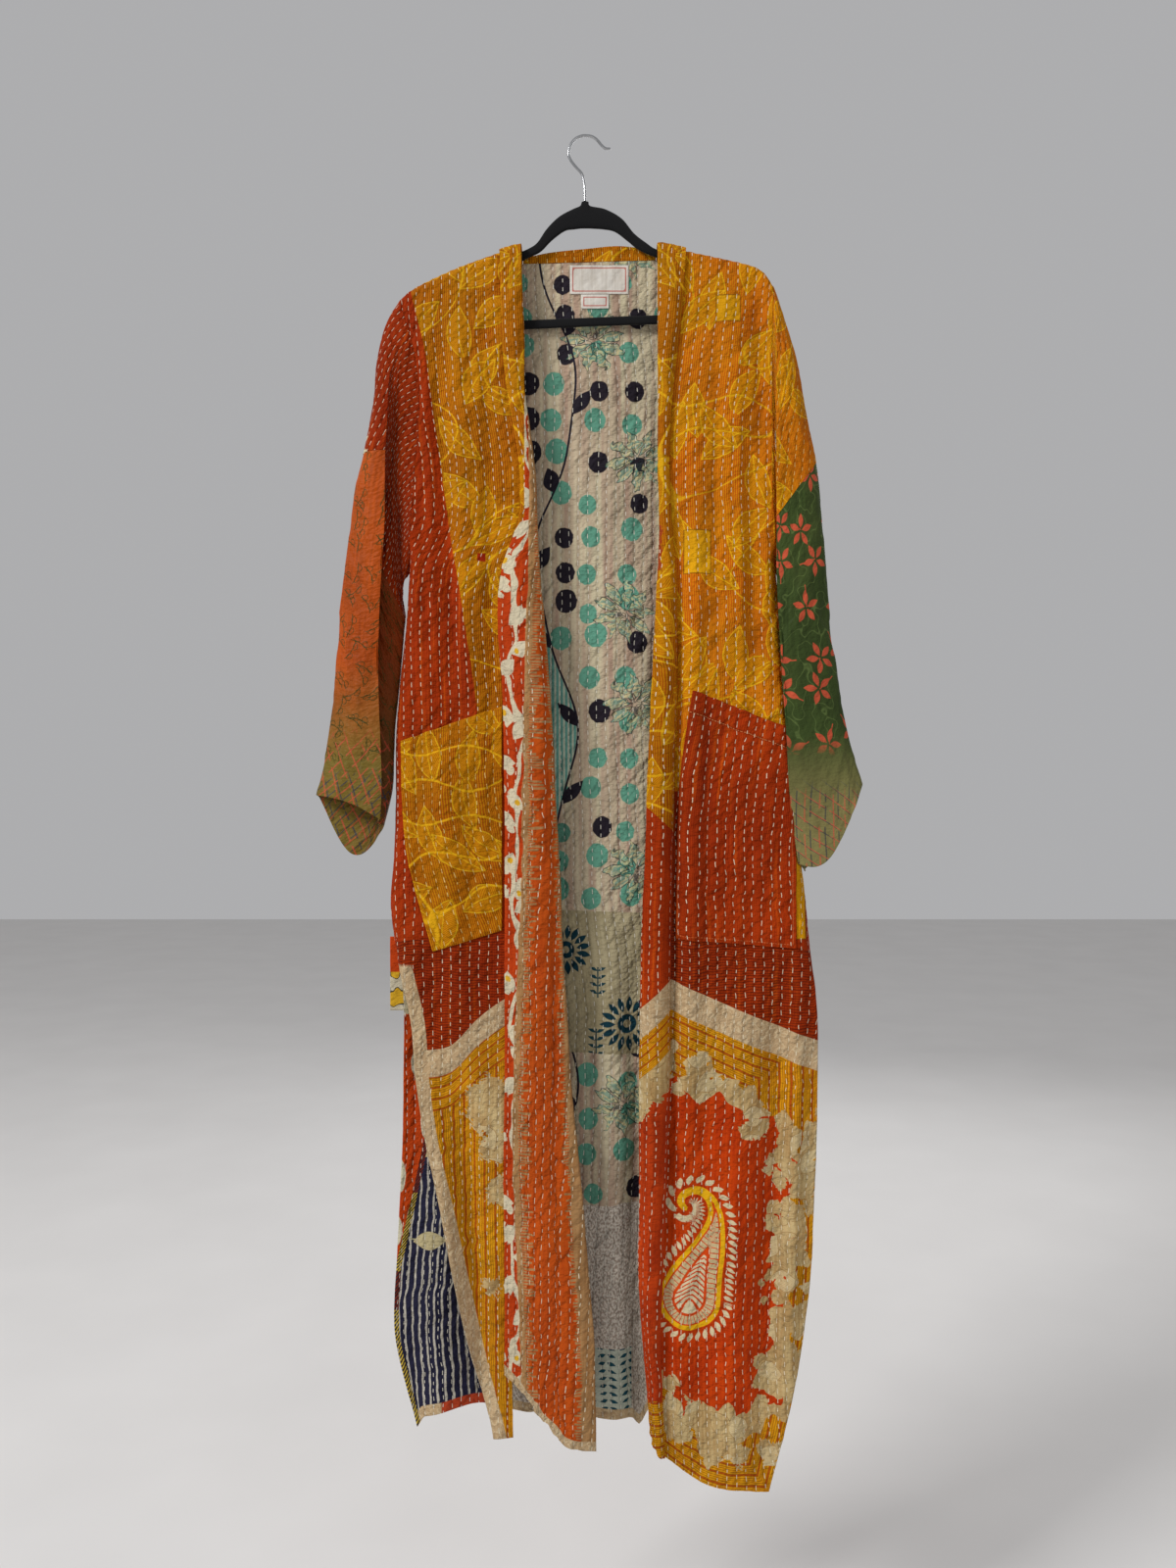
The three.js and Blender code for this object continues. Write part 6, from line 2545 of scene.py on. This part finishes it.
HANGER_FRAME = (
    (-213, -212, -200, -208),
    (-212, -197, -199, -202),
    (-204, -185, -193, -195),
    (-158, -162, -158, -174),
    (-113, -145, -113, -157),
    (-80, -136, -80, -147),
    (-67, -131, -67, -141),
    (-57, -124, -53, -134),
    (-46, -108, -40, -121),
    (-32, -94, -25, -110),
    (-16, -85, -14, -108),
    (-7, -81, -6, -107),
    (-4.5, -76, -3, -107),
    (2.5, -76, 1, -107),
    (5, -81, 5, -107),
    (23, -85, 20, -108),
    (42, -96, 34, -111),
    (56, -113, 49, -122),
    (70, -124, 62, -132),
    (84, -132.5, 84, -141.5),
    (117, -139, 117, -151),
    (163, -149, 163, -161),
    (195, -157, 188, -168),
    (206, -166, 196, -176),
    (212, -180, 200, -186),
    (213, -200, 200, -198),
    (206, -215, 193, -206),
    (190, -220, 180, -209),
    (85, -219, 85, -209),
    (-72, -225, -72, -215),
    (-188, -230, -182, -219),
    (-206, -225, -195, -215),
)
HOOK_LINE = (
    (-1, -75.05),
    (-1.3, -62),
    (-2.5, -52),
    (-5, -43),
    (-12, -35),
    (-18, -27),
    (-20.5, -20),
    (-18.5, -10),
    (-13, -2.5),
    (-6, 1),
    (0, 1.6),
    (7, 0.5),
    (13, -3.5),
    (18, -9.5),
    (23, -13.5),
    (29, -14),
)


@dataclass
class Hanger:
    """The flocked hanger's frame and its wire hook."""

    half: float = 2.5
    wire: float = 1.6
    sides: int = 16

    def tube(self, name: str, rings: Array, closed: bool, material: Material) -> Piece:
        """A tube through rings of points, joined end to end or closed by flat ends.

        Args:
            name: Name of the piece.
            rings: Rings of points.
            closed: Whether the last ring is joined to the first.
            material: Its material.

        Returns:
            The piece.
        """
        stations, sides = rings.shape[:2]
        spans = stations if closed else stations - 1
        step, side = (a.ravel() for a in np.meshgrid(np.arange(spans), np.arange(sides), indexing="ij"))
        after, turn = (step + 1) % stations, (side + 1) % sides
        corners = [step * sides + side, step * sides + turn, after * sides + turn, after * sides + side]
        quads = np.stack(corners, axis=-1)
        points = rings.reshape(-1, 3)
        a, b, c = (points[quads[:, k]] for k in range(3))
        faces = (quads if np.einsum("ij,ij->", a, np.cross(b, c)) > 0 else quads[:, ::-1]).tolist()
        if not closed:
            ends = [list(range(sides)), list(range((stations - 1) * sides, stations * sides))[::-1]]
            for ring in ends:
                first = np.cross(points[ring[1]] - points[ring[0]], points[ring[2]] - points[ring[1]])
                end, before = (0, 1) if ring[0] < sides else (-1, -2)
                out = rings[end].mean(0) - rings[before].mean(0)
                faces.append(ring if first @ out > 0 else ring[::-1])
        return add_object(name, points, faces, [material])

    def frame(self, material: Material) -> Piece:
        """Neck, two arms and the bar between their ends, with rounded sections.

        The outer and the inner edge are closed curves through the rows: between two rows, half
        the sum of the four rows around, each times a cubic of the way.

        Args:
            material: Its material.

        Returns:
            The piece.
        """
        rows = np.array(HANGER_FRAME, float)
        count = len(rows)
        t = np.arange(count * 6) / 6
        start = t.astype(int)
        f = (t - start)[:, None]
        p0, p1, p2, p3 = (rows[(start + k) % count] for k in (-1, 0, 1, 2))
        square = (2 * p0 - 5 * p1 + 4 * p2 - p3) * f**2
        cube = (3 * p1 - p0 - 3 * p2 + p3) * f**3
        made = 0.5 * (2 * p1 + (p2 - p0) * f + square + cube)
        outer, inner = made[:, :2], made[:, 2:]
        turn = np.linspace(0, 2 * math.pi, self.sides, endpoint=False) + 0.1
        flat = np.sign(np.cos(turn)) * np.abs(np.cos(turn)) ** 0.5
        deep = np.sign(np.sin(turn)) * np.abs(np.sin(turn)) ** 0.5 * self.half
        middle, reach = (outer + inner) / 2, (outer - inner) / 2
        plane = middle[:, None] + reach[:, None] * flat[None, :, None]
        y = np.broadcast_to(deep, plane.shape[:2])
        rings = np.stack([plane[..., 0], y, plane[..., 1]], axis=-1)
        return self.tube("hanger_frame", rings, True, material)

    def hook(self, material: Material) -> Piece:
        """A round wire along the hook's line, with rounded ends.

        Args:
            material: Its material.

        Returns:
            The piece.
        """
        line = np.array(HOOK_LINE, float)
        run = np.concatenate([[0], np.cumsum(np.linalg.norm(np.diff(line, axis=0), axis=-1))])
        table = Table("t x z", *zip(run, line[:, 0], line[:, 1]))
        t = np.unique(np.concatenate([np.linspace(0, run[-1], 150), run[-1] - np.array([0.1, 0.4, 0.9])]))
        x, z = table.at("t", "x", t), table.at("t", "z", t)
        way = np.stack([np.gradient(x, t), np.gradient(z, t)], axis=-1)
        way /= np.linalg.norm(way, axis=-1, keepdims=True)
        radius = self.wire * np.maximum(round_off((run[-1] - t) / 1.4), 0.2)
        turn = np.linspace(0, 2 * math.pi, self.sides, endpoint=False)
        out = radius[:, None] * np.cos(turn)
        deep = radius[:, None] * np.sin(turn)
        rings = np.stack([x[:, None] + way[:, 1:] * out, deep, z[:, None] - way[:, :1] * out], axis=-1)
        return self.tube("hanger_hook_wire", rings, False, material)


@dataclass
class Studio:
    """Pale floor, soft light and the camera at the photograph's viewing angle."""

    floor_height: float = -1.86
    floor_reach: float = 9.0
    world_strength: float = 0.5
    middle: tuple[float, float, float] = (0.0, 0.0, -0.75)
    camera_place: tuple[float, float, float] = (0.0023, -1.38, -0.7715)
    lens: float = 27.05
    shift: float = 0.0075

    def floor(self) -> None:
        """A wide pale floor under the hanging robe."""
        signs = ((-1, -1), (1, -1), (1, 1), (-1, 1))
        corners = [(a * self.floor_reach, b * self.floor_reach, self.floor_height) for a, b in signs]
        mesh = bpy.data.meshes.new("floor")
        mesh.from_pydata(corners, [], [(0, 1, 2, 3)])
        loom = Loom("floor_paint")
        x, y, _ = loom.place()
        patches = loom.noise(x, y, 300.0, 300.0, 3.0)
        colour = loom.mix(patches, (214, 212, 210), (222, 220, 218))
        feed(loom.tree, loom.shader.inputs["Base Color"], colour)
        loom.shader.inputs["Roughness"].default_value = 0.9
        mesh.materials.append(loom.material)
        made = bpy.data.objects.new("floor", mesh)
        bpy.context.scene.collection.objects.link(made)

    def light(
        self, name: str, place: Sequence[float], size: float, power: float, aim: Sequence[float]
    ) -> None:
        """A square soft light that looks at a point.

        Args:
            name: Name of the light.
            place: Its place in metres.
            size: Length of its side.
            power: Its power in watts.
            aim: Point that it looks at.
        """
        lamp = bpy.data.lights.new(name, "AREA")
        lamp.size, lamp.energy = size, power
        made = bpy.data.objects.new(name, lamp)
        made.location = place
        made.rotation_euler = (Vector(aim) - Vector(place)).to_track_quat("-Z", "Y").to_euler()
        bpy.context.scene.collection.objects.link(made)

    def build(self) -> None:
        """Floor, world, lights and camera."""
        self.floor()
        world = bpy.data.worlds.new("studio")
        world.use_nodes = True
        background = world.node_tree.nodes["Background"]
        background.inputs["Color"].default_value = linear((236, 236, 238))
        background.inputs["Strength"].default_value = self.world_strength
        bpy.context.scene.world = world
        bpy.context.scene.view_settings.view_transform = "Standard"
        self.light("key", (-3.6, -2.7, 2.35), 1.4, 215.0, self.middle)
        self.light("fill", (1.6, -2.4, -0.2), 2.0, 8.0, (0.0, 0.0, -0.8))
        self.light("rear", (0.8, 2.6, 0.6), 2.0, 30.0, (0.0, 0.0, -0.7))
        camera = bpy.data.cameras.new("camera")
        camera.lens, camera.shift_y = self.lens, self.shift
        camera.clip_start = 0.05
        made = bpy.data.objects.new("camera", camera)
        made.location = self.camera_place
        made.rotation_euler = (math.pi / 2, 0.0, 0.0)
        bpy.context.scene.collection.objects.link(made)
        bpy.context.scene.camera = made


def main() -> None:
    """Build every piece in order, light it and log the sizes."""
    logging.basicConfig(level=logging.INFO, format="%(message)s")
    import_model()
    Studio().build()
    white = (226, 220, 204)
    inside = Cloth("lining_cotton", lambda p: p.plain((188, 172, 146), (168, 148, 126)), thread=white).make()
    golden = (226, 196, 124)
    mustard = Cloth("mustard_quilt", lambda p: p.mustard(), thread=golden).make()
    body = BodyPanels()
    back = [Cloth("back_quilt", back_outside).make(), Cloth("back_lining", back_inside, thread=white).make()]
    declare(body.back(back), "back")
    left = Cloth("left_front_quilt", left_front).make()
    declare(body.front(Hand.LEFT, [left, inside]), "front_left")
    right = Cloth("right_front_quilt", right_front).make()
    declare(body.front(Hand.RIGHT, [right, inside]), "front_right")
    band = Neckband()
    left = Cloth("left_band_quilt", left_band).make()
    declare(band.front(Hand.LEFT, 32, 0.16, 9.0, [left, left]), "neckband_left")
    right = Cloth("right_band_quilt", right_band).make()
    declare(band.front(Hand.RIGHT, 12, 0.24, 8.0, [right, right]), "neckband_right")
    declare(band.behind([mustard, mustard]), "neckband_back")
    sleeves = Sleeves()
    upper = Cloth("left_sleeve_quilt", left_upper_sleeve, turn=-24.0).make()
    rust = Cloth("rust_silk", lambda p: p.rust_silk(), 0.55, 0.02, 0.1, stitched=False, crush=0.8).make()
    above, below = sleeves.build(Hand.LEFT, LEFT_SEAM_RING, [upper, inside], [rust, rust])
    declare(above, "sleeve_upper_left")
    declare(below, "sleeve_lower_left")
    bright = Cloth("right_sleeve_quilt", bright_mustard, turn=24.0, thread=golden).make()
    green = Cloth("green_silk", lambda p: p.green_silk(), 0.55, 0.02, 0.1, stitched=False, crush=0.5).make()
    above, below = sleeves.build(Hand.RIGHT, RIGHT_SEAM_RING, [bright, inside], [green, green])
    declare(above, "sleeve_upper_right")
    declare(below, "sleeve_lower_right")
    small = SmallPieces()
    piece = small.pocket(Hand.LEFT, [mustard, inside])
    declare(piece, "pocket_left")
    pocket = Cloth("right_pocket_quilt", right_pocket).make()
    piece = small.pocket(Hand.RIGHT, [pocket, inside])
    declare(piece, "pocket_right")
    tie = Cloth("side_tie_print", lambda p: p.side_floral(), stitched=False, crush=0.6).make()
    piece = small.patch("side_tie_cloth", (-232.0, -198.0, -938.0, -1026.0), 1.0, 2.0, [tie, tie])
    declare(piece, "side_tie")
    tape = Cloth("label_tape", blank_label, 0.7, 0.1, stitched=False, crush=0.25).make()
    piece = small.patch("label_cloth", (-19.0, 50.0, -147.0, -181.0), -1.0, 0.8, [tape, tape])
    declare(piece, "label")
    piece = small.patch("care_tag_cloth", (-6.0, 27.0, -181.4, -198.0), -1.0, 0.8, [tape, tape])
    declare(piece, "care_tag")
    hanger = Hanger()
    declare(hanger.frame(Velvet().make()), "hanger_body")
    declare(hanger.hook(Wire().make()), "hanger_hook")


if __name__ == "__main__":
    main()
